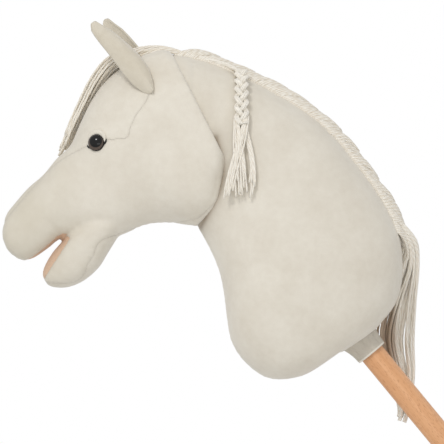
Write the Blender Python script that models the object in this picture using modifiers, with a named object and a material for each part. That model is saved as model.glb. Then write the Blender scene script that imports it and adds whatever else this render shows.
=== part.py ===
"""Plush hobby horse on a plain round stick, as separate sewn and turned pieces.

The horse faces -X, +Z is up and its left side is at -Y. The origin is the place on
the stick's axis where a rider's hands hold it, just below the neck.
"""
import math

import bmesh
import bpy
from mathutils import Matrix, Vector
from mathutils.bvhtree import BVHTree

MM = 0.001

# Fit between pieces that touch, and what a cut reaches past the piece it cuts
GAP = 0.3 * MM
SWING_GAP = 1.0 * MM
REACH = 700.0 * MM
MERGE = 0.001 * MM
MITRE_LIMIT = 0.4

# Stick: a round beech dowel that goes into a sewn pocket in the neck
STICK_TILT = math.radians(39.5)
STICK_DIAMETER = 26.0 * MM
STICK_LENGTH = 850.0 * MM
STICK_CHAMFER = 1.5 * MM
GRIP_TO_CUFF = 87.0 * MM
POCKET_DEPTH = 272.0 * MM
ROUND_STEPS = 28

# Cloth thicknesses
PLUSH = 2.0 * MM
POCKET_CLOTH = 1.0 * MM
CUFF_CLOTH = 1.5 * MM
PATCH_CLOTH = 1.0 * MM

# Cuff: a gathered sleeve of the neck's plush round the stick
CUFF_LENGTH = 24.0 * MM
CUFF_FLARE = 5.0 * MM
CUFF_TUCK = 5.0 * MM
CUFF_CURVE = ((0.0, 0.0), (0.25, 0.1), (0.6, 0.45), (1.0, 1.0))

# Neck sections from the poll to the cuff, in mm: crest x and z, throat x and z, half width
NECK_SECTIONS = (
    (-266, 378, -248, 224, 38),
    (-229, 372, -240, 201, 45),
    (-182, 352, -226, 175, 52),
    (-140, 329, -216, 151, 58),
    (-102, 301, -211, 126, 63),
    (-74, 268, -208, 101, 66),
    (-45, 228, -203, 77, 67),
    (-27, 190, -187, 54, 64),
    (-23, 151, -161, 38, 56),
    (-30, 119, -125, 42, 43),
    (-51, 92, -94, 63, 26),
)
NECK_PEAR = 0.10
NECK_MOUTH_INSET = 4.0
CREST_SHARE = 0.12
NECK_RINGS = 13
NECK_STEPS = 20

# Head sections from the nose to the poll, in the same terms
HEAD_SECTIONS = (
    (-439, 194, -438, 184, 13),
    (-435, 210, -432, 172, 22),
    (-426, 223, -420, 165, 28),
    (-413, 239, -407, 166, 31),
    (-398, 253, -391, 175, 33),
    (-383, 270, -375, 185, 35),
    (-367, 283, -348, 187, 39),
    (-357, 304, -319, 187, 44),
    (-346, 327, -290, 199, 49),
    (-333, 348, -264, 201, 54),
    (-315, 367, -240, 200, 57),
    (-295, 379, -222, 219, 58),
    (-276, 382, -213, 249, 56),
    (-267, 379, -209, 262, 47),
)
HEAD_PEAR = 0.06
HEAD_RINGS = 15
HEAD_STEPS = 18

# Lower jaw sections from the chin to its root inside the head
JAW_SECTIONS = (
    (-399, 145, -394, 138, 10),
    (-399, 152, -386, 134, 18),
    (-395, 161, -371, 134, 24),
    (-389, 171, -354, 141, 28),
    (-382, 179, -338, 155, 31),
    (-374, 188, -328, 171, 34),
    (-363, 200, -316, 190, 36),
    (-352, 216, -302, 210, 32),
)
JAW_PEAR = 0.0
JAW_RINGS = 8
JAW_STEPS = 14

# Roundness of every stuffed section: 2 is an ellipse, more is fuller
FULLNESS = 2.2

# Seams of the head's cover, as side-view outlines in mm
FOREHEAD_OUTLINE = (
    (-460, 197), (-436, 197), (-428, 211), (-417, 225), (-400, 244), (-386, 259),
    (-373, 270), (-359, 278), (-350, 282), (-331, 288), (-310, 290), (-306, 299),
    (-300, 313), (-290, 327), (-286, 339), (-280, 361), (-276, 400), (-460, 400),
)
CHIN_OUTLINE = (
    (-420, 142), (-398, 142), (-390, 140), (-367, 140), (-354, 148), (-350, 159),
    (-344, 168), (-341, 177), (-335, 185), (-317, 195), (-302, 202), (-270, 205),
    (-250, 206), (-234, 212), (-220, 223), (-200, 233), (-200, 110), (-420, 110),
)
PALATE_OUTLINE = (
    (-416, 158), (-416, 168), (-398, 178), (-386, 183), (-373, 189), (-371, 186),
    (-385, 179), (-396, 167), (-404, 158),
)
TONGUE_OUTLINE = (
    (-404, 141), (-394, 141), (-388, 149), (-380, 166), (-369, 186), (-371, 186),
    (-385, 179), (-396, 167), (-406, 156),
)
MOUTH_CORNER_X = -370.0 * MM

# Eyes: a dome on a stem, a black almond of felt behind it and a lock washer inside
EYE_X = -340.5 * MM
EYE_Z = 285.0 * MM
EYE_RADIUS = 8.8 * MM
EYE_HEIGHT = 5.5 * MM
EYE_STEM_RADIUS = 2.5 * MM
EYE_STEM_LENGTH = 11.0 * MM
EYE_STEM_SEAT = 0.6
EYE_STEPS = 20
WASHER_RADIUS = 8.0 * MM
WASHER_THICKNESS = 1.5 * MM
WASHER_BORE_CLEARANCE = 0.3 * MM
ALMOND_LENGTH = 23.5 * MM
ALMOND_HEIGHT = 12.5 * MM
ALMOND_TILT = math.radians(12.0)
LID_WIDTH = 5.0 * MM
LID_THICKNESS = 3.2 * MM
LID_END_SHARE = 0.35
LID_STEP = 20

# Ears: a cupped leaf of two plush layers, opening forward and inward
EAR_ROOT = (-287.0, 34.0, 343.0)
EAR_LENGTH = 83.0 * MM
EAR_LEAN_LEFT = (-0.640, 0.13, 0.757)
EAR_LEAN_RIGHT = (-0.495, 0.13, 0.860)
EAR_OPENING = (-0.62, -0.75, -0.25)
EAR_WIDTHS = (
    (0.0, 9.0),
    (0.12, 14.5),
    (0.32, 18.5),
    (0.58, 17.0),
    (0.80, 12.5),
    (0.93, 8.0),
    (1.0, 3.5),
)
EAR_CUP_ROOT = 0.95
EAR_CUP_TIP = 0.25
EAR_EDGE_LEAN = 0.9
EAR_EDGE_THINNING = 0.5
EAR_LINING = 1.5 * MM
EAR_STEPS = 7
EAR_RINGS = 8

# Mane: yarn sewn on a tape along the crest, falling over the far side of the neck
TAPE_WIDTH = 9.0 * MM
MANE_DROP = 155.0 * MM
MANE_THICKNESS = 11.0 * MM
MANE_NEAR_EDGE = 7.0 * MM
MANE_FRONT_X = -256.0 * MM
MANE_BACK_X = -26.0 * MM
MANE_LOW_Z = 120.0 * MM

# Forelock: path over the poll and down the forehead, in mm: x, y, z, half depth, half width
FORELOCK_PATH = (
    (-262, 0, 383, 4, 9),
    (-276, 0, 384, 5, 11),
    (-292, 0, 384, 6, 12),
    (-310, 1, 380, 7, 13),
    (-328, 3, 370, 8, 14),
    (-343, 6, 350, 8, 15),
    (-354, 9, 325, 8, 14),
    (-367, 14, 302, 7, 12),
    (-378, 18, 283, 5, 9),
    (-384, 20, 273, 3, 5),
)
FORELOCK_RINGS = 11
FORELOCK_STEPS = 10

# Braid: hangs from the crest on the near side and ends in a loose tassel
BRAID_X = -191.0 * MM
BRAID_KNOT_Z = 302.0 * MM
TASSEL_LOW_Z = 226.0 * MM
BRAID_HALF_WIDTH = 7.5 * MM
BRAID_HALF_DEPTH = 5.5 * MM
TASSEL_HALF_WIDTH = 17.0 * MM
TASSEL_HALF_DEPTH = 5.0 * MM
BRAID_SHARES = (0.2, 0.45, 0.7, 1.0)
TASSEL_SHARES = (0.0, 0.3, 0.65, 1.0)
BRAID_RINGS = 6
BRAID_STEPS = 10

# Mane end: the last strands hang free behind the stick, in mm: x, y, z, half depth, half width
MANE_END_PATH = (
    (-23, 4, 194, 6, 7),
    (-15, 12, 179, 8, 9),
    (-15, 24, 155, 9, 11),
    (-23, 33, 118, 9, 17),
    (-28, 36, 82, 9, 20),
    (-23, 36, 45, 8, 15),
    (-17, 35, 10, 7, 8),
    (-19, 34, -8, 5, 6),
)
MANE_RINGS = 31
MANE_END_RINGS = 9
MANE_END_STEPS = 10


def collection(name):
    """Make a collection of the scene."""
    group = bpy.data.collections.new(name)
    bpy.context.scene.collection.children.link(group)
    return group


for old in list(bpy.data.objects):
    bpy.data.objects.remove(old, do_unlink=True)
PARTS = collection("hobby_horse")
CUTTERS = collection("cutters")


def guide(name, mesh):
    """Add a hidden wire object that only cuts or shapes the pieces."""
    body = bpy.data.objects.new(name, mesh)
    CUTTERS.objects.link(body)
    body.hide_render = True
    body.display_type = "WIRE"
    return body


def bake(body):
    """Turn a body's modifiers into its own mesh."""
    graph = bpy.context.evaluated_depsgraph_get()
    mesh = bpy.data.meshes.new_from_object(body.evaluated_get(graph))
    body.modifiers.clear()
    body.data = mesh
    return body


def copy_of(body, name):
    """Copy a guide body with its own mesh."""
    twin = guide(name, body.data.copy())
    twin.matrix_world = body.matrix_world
    return twin


def boolean(body, other, operation):
    """Cut, join or intersect a body with another one."""
    modifier = body.modifiers.new(operation.lower(), "BOOLEAN")
    modifier.operation = operation
    modifier.solver = "EXACT"
    modifier.object = other
    bake(body)
    work = bmesh.new()
    work.from_mesh(body.data)
    bmesh.ops.remove_doubles(work, verts=work.verts, dist=MERGE)
    bmesh.ops.dissolve_degenerate(work, edges=work.edges, dist=MERGE)
    bmesh.ops.triangulate(work, faces=work.faces)
    work.to_mesh(body.data)
    work.free()
    body.data.update()
    return body


def cut(body, *others):
    """Take every other body out of the first."""
    for other in others:
        boolean(body, other, "DIFFERENCE")
    return body


def grown(body, distance, name):
    """Copy a body with its surface moved outward along its normals."""
    twin = copy_of(body, name)
    modifier = twin.modifiers.new("grow", "DISPLACE")
    modifier.mid_level = 0.0
    modifier.strength = distance
    return bake(twin)


def smooth_rows(rows, count):
    """Read a smooth curve through the rows at evenly spaced places."""
    last = len(rows) - 1
    result = []
    for step in range(count):
        place = step * last / (count - 1)
        index = min(int(place), last - 1)
        share = place - index
        before = rows[max(index - 1, 0)]
        start = rows[index]
        end = rows[index + 1]
        after = rows[min(index + 2, last)]
        row = []
        for a, b, c, d in zip(before, start, end, after):
            value = 2 * b + (c - a) * share + (2 * a - 5 * b + 4 * c - d) * share ** 2
            value += (3 * b - a - 3 * c + d) * share ** 3
            row.append(value / 2)
        result.append(row)
    return result


def loft(name, rings, curved=False):
    """Skin closed rings of points, with a flat cap at each end."""
    work = bmesh.new()
    loops = [[work.verts.new(point) for point in ring] for ring in rings]
    for first, second in zip(loops, loops[1:]):
        for index in range(len(first)):
            after = (index + 1) % len(first)
            work.faces.new((first[index], first[after], second[after], second[index]))
    work.faces.new(loops[0])
    work.faces.new(loops[-1])
    if curved:
        bmesh.ops.triangulate(work, faces=work.faces)
    bmesh.ops.recalc_face_normals(work, faces=work.faces)
    mesh = bpy.data.meshes.new(name)
    work.to_mesh(mesh)
    work.free()
    return guide(name, mesh)


def stuffed_body(name, sections, pear, ring_count, point_count):
    """Loft the rounded cross sections of a stuffed body."""
    rings = []
    for top_x, top_z, low_x, low_z, half_width in smooth_rows(sections, ring_count):
        top = Vector((top_x, 0, top_z)) * MM
        low = Vector((low_x, 0, low_z)) * MM
        ring = []
        for index in range(point_count):
            angle = 2 * math.pi * index / point_count
            up = math.copysign(abs(math.cos(angle)) ** (2 / FULLNESS), math.cos(angle))
            side = math.copysign(abs(math.sin(angle)) ** (2 / FULLNESS), math.sin(angle))
            width = half_width * MM * (1 - pear * up)
            ring.append((top + low) / 2 + (top - low) / 2 * up + Vector((0, width * side, 0)))
        rings.append(ring)
    return loft(name, rings, curved=True)


def offset_outline(points, distance):
    """Move a closed outline outward, whichever way round it runs."""
    area = sum(a.x * b.y - b.x * a.y for a, b in zip(points, points[1:] + points[:1]))
    turn = 1 if area > 0 else -1
    result = []
    for index, point in enumerate(points):
        first = (point - points[index - 1]).normalized()
        second = (points[(index + 1) % len(points)] - point).normalized()
        middle = (first + second).normalized()
        normal = Vector((middle.y, -middle.x)) * turn
        slope = max(MITRE_LIMIT, normal.dot(Vector((first.y, -first.x)) * turn))
        result.append(point + normal * distance / slope)
    return result


def prism(name, outline, y_low, y_high, distance=0.0):
    """Extrude a side-view outline in mm across the horse."""
    flat = [Vector(point) * MM for point in outline]
    flat = offset_outline(flat, distance)
    rings = [[Vector((point.x, y, point.y)) for point in flat] for y in (y_low, y_high)]
    return loft(name, rings)


def room(name, x_low, x_high, y_low, y_high):
    """Block taller than the horse between two places along it and two across it."""
    outline = ((x_low, -REACH), (x_high, -REACH), (x_high, REACH), (x_low, REACH))
    return prism(name, [Vector(corner) / MM for corner in outline], y_low, y_high)


def slab(name, y_low, y_high):
    """Block that spans the whole horse between two places across it."""
    return room(name, -REACH, REACH, y_low, y_high)


def turned(name, profile, steps):
    """Turn a profile of (radius, height) points about the local Z axis."""
    mesh = bpy.data.meshes.new(name)
    count = len(profile)
    edges = [(index, index + 1) for index in range(count - 1)]
    if profile[0][0] > 0:
        edges.append((count - 1, 0))
    mesh.from_pydata([(radius, 0, height) for radius, height in profile], edges, [])
    body = guide(name, mesh)
    screw = body.modifiers.new("turn", "SCREW")
    screw.steps = steps
    screw.render_steps = steps
    screw.use_merge_vertices = True
    screw.merge_threshold = MERGE
    bake(body)
    work = bmesh.new()
    work.from_mesh(body.data)
    bmesh.ops.remove_doubles(work, verts=work.verts, dist=MERGE)
    bmesh.ops.recalc_face_normals(work, faces=work.faces)
    work.to_mesh(body.data)
    work.free()
    body.data.update()
    return body


def rod(name, radius, low, high, steps):
    """Plain round bar between two heights on the local Z axis."""
    return turned(name, ((0, high), (radius, high), (radius, low), (0, low)), steps)


def place(body, matrix):
    """Put a turned body where its matrix says, in its mesh."""
    body.data.transform(matrix)
    body.data.update()
    return body


def material(name, colour, roughness, metallic=0.0):
    """Principled material with one colour."""
    paint = bpy.data.materials.new(name)
    paint.use_nodes = True
    shader = paint.node_tree.nodes["Principled BSDF"]
    shader.inputs["Base Color"].default_value = (*colour, 1.0)
    shader.inputs["Roughness"].default_value = roughness
    shader.inputs["Metallic"].default_value = metallic
    return paint


PLUSH_COLOUR = (0.72, 0.66, 0.58)
YARN_COLOUR = (0.83, 0.76, 0.65)
STUFFING_COLOUR = (0.90, 0.90, 0.88)
LINING_COLOUR = (0.58, 0.36, 0.22)
POCKET_COLOUR = (0.60, 0.56, 0.50)
BEECH_COLOUR = (0.74, 0.37, 0.16)
BLACK_COLOUR = (0.01, 0.01, 0.01)
WASHER_COLOUR = (0.75, 0.75, 0.73)


def finish(body, name, colour, roughness, angle=50.0):
    """Move a guide body to the parts with its own material and smooth shading."""
    CUTTERS.objects.unlink(body)
    PARTS.objects.link(body)
    body.hide_render = False
    body.display_type = "TEXTURED"
    body.name = name
    body.data.name = name
    body.data.materials.clear()
    body.data.materials.append(material(name, colour, roughness))
    body.data.shade_smooth()
    body.data.set_sharp_from_angle(angle=math.radians(angle))
    return body


def move_origin(body, point):
    """Put a moving piece's origin on its joint axis, with the shape where it was."""
    body.data.transform(Matrix.Translation(-point))
    body.data.update()
    body.location = point
    return body


# Stick frame: local +Z runs up the stick from the grip
STICK_FRAME = Matrix.Rotation(-STICK_TILT, 4, "Y")
STICK_RADIUS = STICK_DIAMETER / 2
STICK_TOP = GRIP_TO_CUFF + POCKET_DEPTH
STICK_LOW = STICK_TOP - STICK_LENGTH
POCKET_BORE = STICK_RADIUS + GAP
POCKET_RADIUS = POCKET_BORE + POCKET_CLOTH
CUFF_TOP = GRIP_TO_CUFF + CUFF_LENGTH
CUFF_TOP_RADIUS = POCKET_BORE + CUFF_CLOTH + CUFF_FLARE
POCKET_TOP = STICK_TOP + GAP + POCKET_CLOTH


def stick():
    """Dowel with its rounded end edges."""
    edge = STICK_CHAMFER
    profile = [(0, STICK_TOP)]
    for angle in (90, 45, 0):
        turn = math.radians(angle)
        radius = STICK_RADIUS - edge + edge * math.cos(turn)
        profile.append((radius, STICK_TOP - edge + edge * math.sin(turn)))
    for angle in (0, 45, 90):
        turn = math.radians(angle)
        radius = STICK_RADIUS - edge + edge * math.cos(turn)
        profile.append((radius, STICK_LOW + edge - edge * math.sin(turn)))
    profile.append((0, STICK_LOW))
    body = finish(turned("stick", profile, ROUND_STEPS), "stick", BEECH_COLOUR, 0.45)
    body.rotation_euler = (0, -STICK_TILT, 0)


def stick_sleeve():
    """Pocket of lining cloth that takes the stick, closed at its inner end."""
    low = CUFF_TOP + GAP
    profile = (
        (0, POCKET_TOP),
        (POCKET_RADIUS, POCKET_TOP),
        (POCKET_RADIUS, low),
        (POCKET_BORE, low),
        (POCKET_BORE, STICK_TOP + GAP),
        (0, STICK_TOP + GAP),
    )
    body = turned("stick_sleeve", profile, ROUND_STEPS)
    finish(place(body, STICK_FRAME), "stick_sleeve", POCKET_COLOUR, 0.9)


def neck_cuff():
    """Gathered cuff that widens from its hem into the neck's opening."""
    profile = [(POCKET_BORE, CUFF_TOP), (POCKET_BORE, GRIP_TO_CUFF)]
    for rise, flare in CUFF_CURVE:
        radius = POCKET_BORE + CUFF_CLOTH + CUFF_FLARE * flare
        profile.append((radius, GRIP_TO_CUFF + (CUFF_LENGTH - CUFF_TUCK) * rise))
    profile.append((CUFF_TOP_RADIUS, CUFF_TOP))
    body = turned("neck_cuff", profile, ROUND_STEPS)
    finish(place(body, STICK_FRAME), "neck_cuff", PLUSH_COLOUR, 0.95)


# Stuffed bodies: the outside of the plush, its inside, and the stuffing's own surface
neck = stuffed_body("neck_form", NECK_SECTIONS, NECK_PEAR, NECK_RINGS, NECK_STEPS)
head = stuffed_body("head_form", HEAD_SECTIONS, HEAD_PEAR, HEAD_RINGS, HEAD_STEPS)
jaw = stuffed_body("jaw_form", JAW_SECTIONS, JAW_PEAR, JAW_RINGS, JAW_STEPS)
neck_inside = grown(neck, -PLUSH, "neck_inside")
head_inside = grown(head, -PLUSH, "head_inside")
jaw_inside = grown(jaw, -PLUSH, "jaw_inside")
neck_fill = grown(neck, -PLUSH - GAP, "neck_fill")
head_fill = grown(head, -PLUSH - GAP, "head_fill")
jaw_fill = grown(jaw, -PLUSH - GAP, "jaw_fill")
neck_clear = grown(neck, GAP, "neck_clear")
head_clear = grown(head, GAP, "head_clear")
neck_swing_clear = grown(neck, SWING_GAP, "neck_swing_clear")
head_swing_clear = grown(head, SWING_GAP, "head_swing_clear")
NECK_SKIN = BVHTree.FromObject(neck, bpy.context.evaluated_depsgraph_get())
HEAD_SKIN = BVHTree.FromObject(head, bpy.context.evaluated_depsgraph_get())


def skin_point(skin, x, z, side):
    """Find where a line across the horse first meets a stuffed body on one side."""
    start = Vector((x, side * REACH, z))
    point, normal, face, distance = skin.ray_cast(start, Vector((0, -side, 0)))
    return point, normal


def skin_above(skin, x, y):
    """Find where a line straight down first meets a stuffed body."""
    point, normal, face, distance = skin.ray_cast(Vector((x, y, REACH)), Vector((0, 0, -1)))
    return point, normal


def band(sections, inner_share, outer_share):
    """Outline in mm of a strip along a stuffed body's crest."""
    outer = []
    inner = []
    for top_x, top_z, low_x, low_z, half_width in sections:
        top = Vector((top_x, top_z))
        low = Vector((low_x, low_z))
        outer.append(top + (top - low) * outer_share)
        inner.append(top + (low - top) * inner_share)
    return outer + inner[::-1]


def neck_cover():
    """Two plush panels and the woven tape that closes them along the crest."""
    shell = copy_of(neck, "neck_shell")
    cut(shell, neck_inside)
    top = Vector(NECK_SECTIONS[0][0:2])
    low = Vector(NECK_SECTIONS[0][2:4])
    ahead = Vector((-REACH / MM, 0))
    inward = Vector((NECK_MOUTH_INSET, 0))
    front = prism("neck_front", (top + inward, low + inward, low + ahead, top + ahead), -REACH, REACH)
    opening = rod("neck_opening", CUFF_TOP_RADIUS + GAP, 0, CUFF_TOP + PLUSH * 3, ROUND_STEPS)
    cut(shell, front, place(opening, STICK_FRAME))
    crest = band(NECK_SECTIONS, CREST_SHARE, CREST_SHARE)
    half = TAPE_WIDTH / 2
    tape_room = prism("tape_room", crest, -half - GAP / 2, half + GAP / 2, GAP / 2)
    tape_core = prism("tape_core", crest, -half + GAP / 2, half - GAP / 2, -GAP / 2)
    tape = copy_of(shell, "mane_tape")
    boolean(tape, tape_core, "INTERSECT")
    finish(tape, "mane_tape", YARN_COLOUR, 0.9)
    cut(shell, tape_room)
    for name, y_low, y_high in (("left", -GAP / 2, REACH), ("right", -REACH, GAP / 2)):
        panel = copy_of(shell, "neck_panel_" + name)
        cut(panel, slab("beyond_neck_" + name, y_low, y_high))
        finish(panel, "neck_panel_" + name, PLUSH_COLOUR, 0.95)


def neck_stuffing():
    """Wads of filling packed round the stick's pocket: two sides, crest, throat and poll."""
    pocket_room = rod("pocket_room", POCKET_RADIUS + GAP, 0, POCKET_TOP + GAP, ROUND_STEPS)
    cuff_room = rod("cuff_room", CUFF_TOP_RADIUS + GAP, 0, CUFF_TOP + GAP, ROUND_STEPS)
    fill = copy_of(neck_fill, "neck_stuffing")
    cut(fill, place(pocket_room, STICK_FRAME), place(cuff_room, STICK_FRAME))
    middle = STICK_RADIUS + GAP
    for name, y_low, y_high in (("left", -REACH, -middle - GAP), ("right", middle + GAP, REACH)):
        side = copy_of(fill, "side_wad")
        boolean(side, slab("side_room", y_low, y_high), "INTERSECT")
        finish(side, "neck_stuffing_" + name, STUFFING_COLOUR, 1.0)
    for name, low, high, near, far in (
        ("crest", -REACH, POCKET_TOP, GAP / 2, REACH),
        ("throat", -REACH, POCKET_TOP, -REACH, -GAP / 2),
        ("poll", POCKET_TOP + 2 * GAP, POCKET_TOP + REACH, -REACH, REACH),
    ):
        corners = ((near, low), (far, low), (far, high), (near, high))
        rings = [[Vector((x, y, z)) for x, z in corners] for y in (-middle, middle)]
        wad = copy_of(fill, "wad_" + name)
        boolean(wad, place(loft("wad_room_" + name, rings), STICK_FRAME), "INTERSECT")
        finish(wad, "neck_stuffing_" + name, STUFFING_COLOUR, 1.0)


def eye_frame(side):
    """Frame on the head's skin at an eye, with +Z out of the skin and +X up along it."""
    point, normal = skin_point(HEAD_SKIN, EYE_X, EYE_Z, side)
    across = Vector((0, 1, 0)).cross(normal).normalized()
    along = across if across.z > 0 else -across
    other = normal.cross(along)
    turn = Matrix((along, other, normal)).transposed().to_4x4()
    return Matrix.Translation(point) @ turn


def eye_outline(length, height, sides=16):
    """Almond outline with two pointed corners, in local coordinates."""
    points = []
    for index in range(sides):
        angle = 2 * math.pi * index / sides
        lift = math.copysign(abs(math.sin(angle)) ** 1.3, math.sin(angle))
        points.append(Vector((lift * height / 2, math.cos(angle) * length / 2)))
    return points


def upright(name, outline, low, high, frame, tilt=0.0):
    """Extrude a local outline along a frame's own Z axis."""
    rings = []
    for height in (low, high):
        ring = [Vector((point.x, point.y, height)) for point in outline]
        rings.append(ring)
    return place(loft(name, rings), frame @ Matrix.Rotation(tilt, 4, "Z"))


def eye_bore(side, radius, low, high, name):
    """Round hole on an eye's axis."""
    return place(rod(name, radius, low, high, EYE_STEPS), eye_frame(side))


def eyes():
    """Dome eye, felt almond, eyelid fold and lock washer on each side."""
    stem_bore = EYE_STEM_RADIUS + WASHER_BORE_CLEARANCE
    seat = grown(head, PATCH_CLOTH + 2 * GAP, "eye_seat")
    patch_top = grown(head, PATCH_CLOTH + GAP, "patch_top")
    lid_top = grown(head, LID_THICKNESS, "lid_top")
    for side, name in ((-1, "left"), (1, "right")):
        frame = eye_frame(side)
        profile = [(0, EYE_HEIGHT)]
        for angle in (60, 40, 20, 0):
            turn = math.radians(angle)
            profile.append((EYE_RADIUS * math.cos(turn), EYE_HEIGHT * math.sin(turn)))
        profile.append((EYE_RADIUS, -EYE_HEIGHT))
        profile.append((0, -EYE_HEIGHT))
        seat_height = Matrix.Translation((0, 0, PATCH_CLOTH))
        dome = place(turned("dome", profile, EYE_STEPS), frame @ seat_height)
        lid_room = grown(dome, GAP, "lid_room")
        cut(dome, seat)
        stem = eye_bore(side, EYE_STEM_RADIUS, -EYE_STEM_LENGTH, EYE_HEIGHT * EYE_STEM_SEAT, "stem")
        boolean(dome, stem, "UNION")
        finish(dome, "eye_" + name, BLACK_COLOUR, 0.05)

        bore = eye_bore(side, stem_bore, -EYE_STEM_LENGTH * 2, EYE_HEIGHT, "stem_room")
        tilt = side * ALMOND_TILT
        outline = eye_outline(ALMOND_LENGTH, ALMOND_HEIGHT)
        patch = upright("patch", outline, -EYE_RADIUS, EYE_RADIUS, frame, tilt)
        boolean(patch, patch_top, "INTERSECT")
        cut(patch, head_clear, bore)
        finish(patch, "eye_patch_" + name, BLACK_COLOUR, 0.9)

        lid_outline = []
        for angle in range(0, 181, LID_STEP):
            turn = math.radians(angle)
            share = LID_END_SHARE + (1 - LID_END_SHARE) * math.sin(turn)
            reach = EYE_RADIUS + LID_WIDTH * share
            lid_outline.append(Vector((reach * math.sin(turn), reach * math.cos(turn))))
        for angle in range(180, -1, -LID_STEP):
            turn = math.radians(angle)
            lid_outline.append(Vector((math.sin(turn), math.cos(turn))) * (EYE_RADIUS - GAP))
        lid = upright("lid", lid_outline, -EYE_RADIUS, EYE_RADIUS, frame, tilt)
        boolean(lid, lid_top, "INTERSECT")
        wide = eye_outline(ALMOND_LENGTH + 2 * GAP, ALMOND_HEIGHT + 2 * GAP)
        almond_room = upright("almond_room", wide, -EYE_RADIUS, EYE_RADIUS, frame, tilt)
        cut(lid, head_clear, lid_room, almond_room)
        finish(lid, "eyelid_" + name, PLUSH_COLOUR, 0.95)

        washer_profile = (
            (WASHER_RADIUS, 0),
            (WASHER_RADIUS, -PLUSH - WASHER_THICKNESS - GAP * 3),
            (stem_bore, -PLUSH - WASHER_THICKNESS - GAP * 3),
            (stem_bore, 0),
        )
        washer = place(turned("washer", washer_profile, EYE_STEPS), frame)
        boolean(washer, head_fill, "INTERSECT")
        finish(washer, "eye_washer_" + name, WASHER_COLOUR, 0.4)


def head_cover():
    """Plush panels of the face and the brown lining of the open mouth."""
    shell = copy_of(head, "head_shell")
    boolean(shell, jaw, "UNION")
    inside = copy_of(head_inside, "cover_inside")
    boolean(inside, jaw_inside, "UNION")
    cut(shell, inside, neck_clear)
    for side in (-1, 1):
        radius = EYE_STEM_RADIUS + WASHER_BORE_CLEARANCE
        cut(shell, eye_bore(side, radius, -EYE_STEM_LENGTH, EYE_STEM_LENGTH, "cover_bore"))
    for name, outline, colour in (
        ("mouth_lining_upper", PALATE_OUTLINE, LINING_COLOUR),
        ("mouth_lining_lower", TONGUE_OUTLINE, LINING_COLOUR),
        ("forehead_gusset", FOREHEAD_OUTLINE, PLUSH_COLOUR),
        ("chin_gusset", CHIN_OUTLINE, PLUSH_COLOUR),
    ):
        piece = copy_of(shell, name + "_blank")
        boolean(piece, prism(name + "_core", outline, -REACH, REACH, -GAP / 2), "INTERSECT")
        finish(piece, name, colour, 0.95)
        cut(shell, prism(name + "_room", outline, -REACH, REACH, GAP / 2))
    for name, y_low, y_high in (("left", -GAP / 2, REACH), ("right", -REACH, GAP / 2)):
        panel = copy_of(shell, "face_panel_" + name)
        cut(panel, slab("beyond_face_" + name, y_low, y_high))
        finish(panel, "face_panel_" + name, PLUSH_COLOUR, 0.95)


def head_stuffing():
    """Filling of the cheeks, the muzzle and the lower jaw."""
    fill = copy_of(head_fill, "head_stuffing")
    cut(fill, neck_clear)
    for side in (-1, 1):
        depth = -EYE_STEM_LENGTH - GAP
        cut(fill, eye_bore(side, WASHER_RADIUS + GAP, depth, EYE_STEM_LENGTH, "washer_room"))
    for name, x_low, x_high in (
        ("cheek_stuffing", MOUTH_CORNER_X, REACH),
        ("muzzle_stuffing", -REACH, MOUTH_CORNER_X - GAP),
    ):
        wad = copy_of(fill, name)
        boolean(wad, room(name + "_room", x_low, x_high, -REACH, REACH), "INTERSECT")
        finish(wad, name, STUFFING_COLOUR, 1.0)
    lower = copy_of(jaw_fill, "jaw_stuffing")
    cut(lower, head_inside)
    finish(lower, "jaw_stuffing", STUFFING_COLOUR, 1.0)


def leaf_ring(share, half_width, frame, near, far):
    """Cross section of a cupped ear layer between two depths."""
    cup = half_width * (EAR_CUP_ROOT + (EAR_CUP_TIP - EAR_CUP_ROOT) * share)
    ring = []
    for depth, order in ((near, 1), (far, -1)):
        for index in range(EAR_STEPS):
            across = order * (2 * index / (EAR_STEPS - 1) - 1)
            x = (half_width + depth * EAR_EDGE_LEAN) * across
            y = cup * across ** 2 - depth * (1 - EAR_EDGE_THINNING * across ** 2)
            ring.append(frame @ Vector((x, y, share * EAR_LENGTH)))
    return ring


def ears():
    """Two layered ears, cut to sit on the head."""
    for side, name, lean in ((-1, "left", EAR_LEAN_LEFT), (1, "right", EAR_LEAN_RIGHT)):
        axis = Vector((lean[0], lean[1] * side, lean[2])).normalized()
        opening = Vector((EAR_OPENING[0], EAR_OPENING[1] * side, EAR_OPENING[2]))
        opening = (opening - axis * opening.dot(axis)).normalized()
        across = opening.cross(axis)
        turn = Matrix((across, opening, axis)).transposed().to_4x4()
        root = Vector((EAR_ROOT[0], EAR_ROOT[1] * side, EAR_ROOT[2])) * MM
        frame = Matrix.Translation(root) @ turn
        rows = smooth_rows(EAR_WIDTHS, EAR_RINGS)
        layers = (
            ("ear_", GAP + EAR_LINING, GAP + EAR_LINING + PLUSH, PLUSH_COLOUR),
            ("ear_lining_", 0.0, EAR_LINING, PLUSH_COLOUR),
        )
        for prefix, near, far, colour in layers:
            rings = [leaf_ring(share, width * MM, frame, near, far) for share, width in rows]
            layer = loft(prefix + name, rings, curved=True)
            cut(layer, head_clear)
            finish(layer, prefix + name, colour, 0.95)


def hanging(name, path, ring_count, point_count, across_axis):
    """Loft of flat oval sections along a path of (x, y, z, half depth, half width) rows in mm."""
    rows = smooth_rows(path, ring_count)
    rings = []
    for index, (x, y, z, half_depth, half_width) in enumerate(rows):
        before = Vector(rows[max(index - 1, 0)][:3])
        after = Vector(rows[min(index + 1, ring_count - 1)][:3])
        along = (after - before).normalized()
        across = Vector(across_axis)
        depth = across.cross(along).normalized()
        across = along.cross(depth)
        ring = []
        for step in range(point_count):
            angle = 2 * math.pi * step / point_count
            offset = depth * half_depth * math.cos(angle) + across * half_width * math.sin(angle)
            ring.append((Vector((x, y, z)) + offset) * MM)
        rings.append(ring)
    return loft(name, rings, curved=True)


def mane_end_form():
    """Free strands at the mane's lower end, as one flat lock."""
    return hanging("mane_end_form", MANE_END_PATH, MANE_END_RINGS, MANE_END_STEPS, (1, 0, 0))


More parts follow.
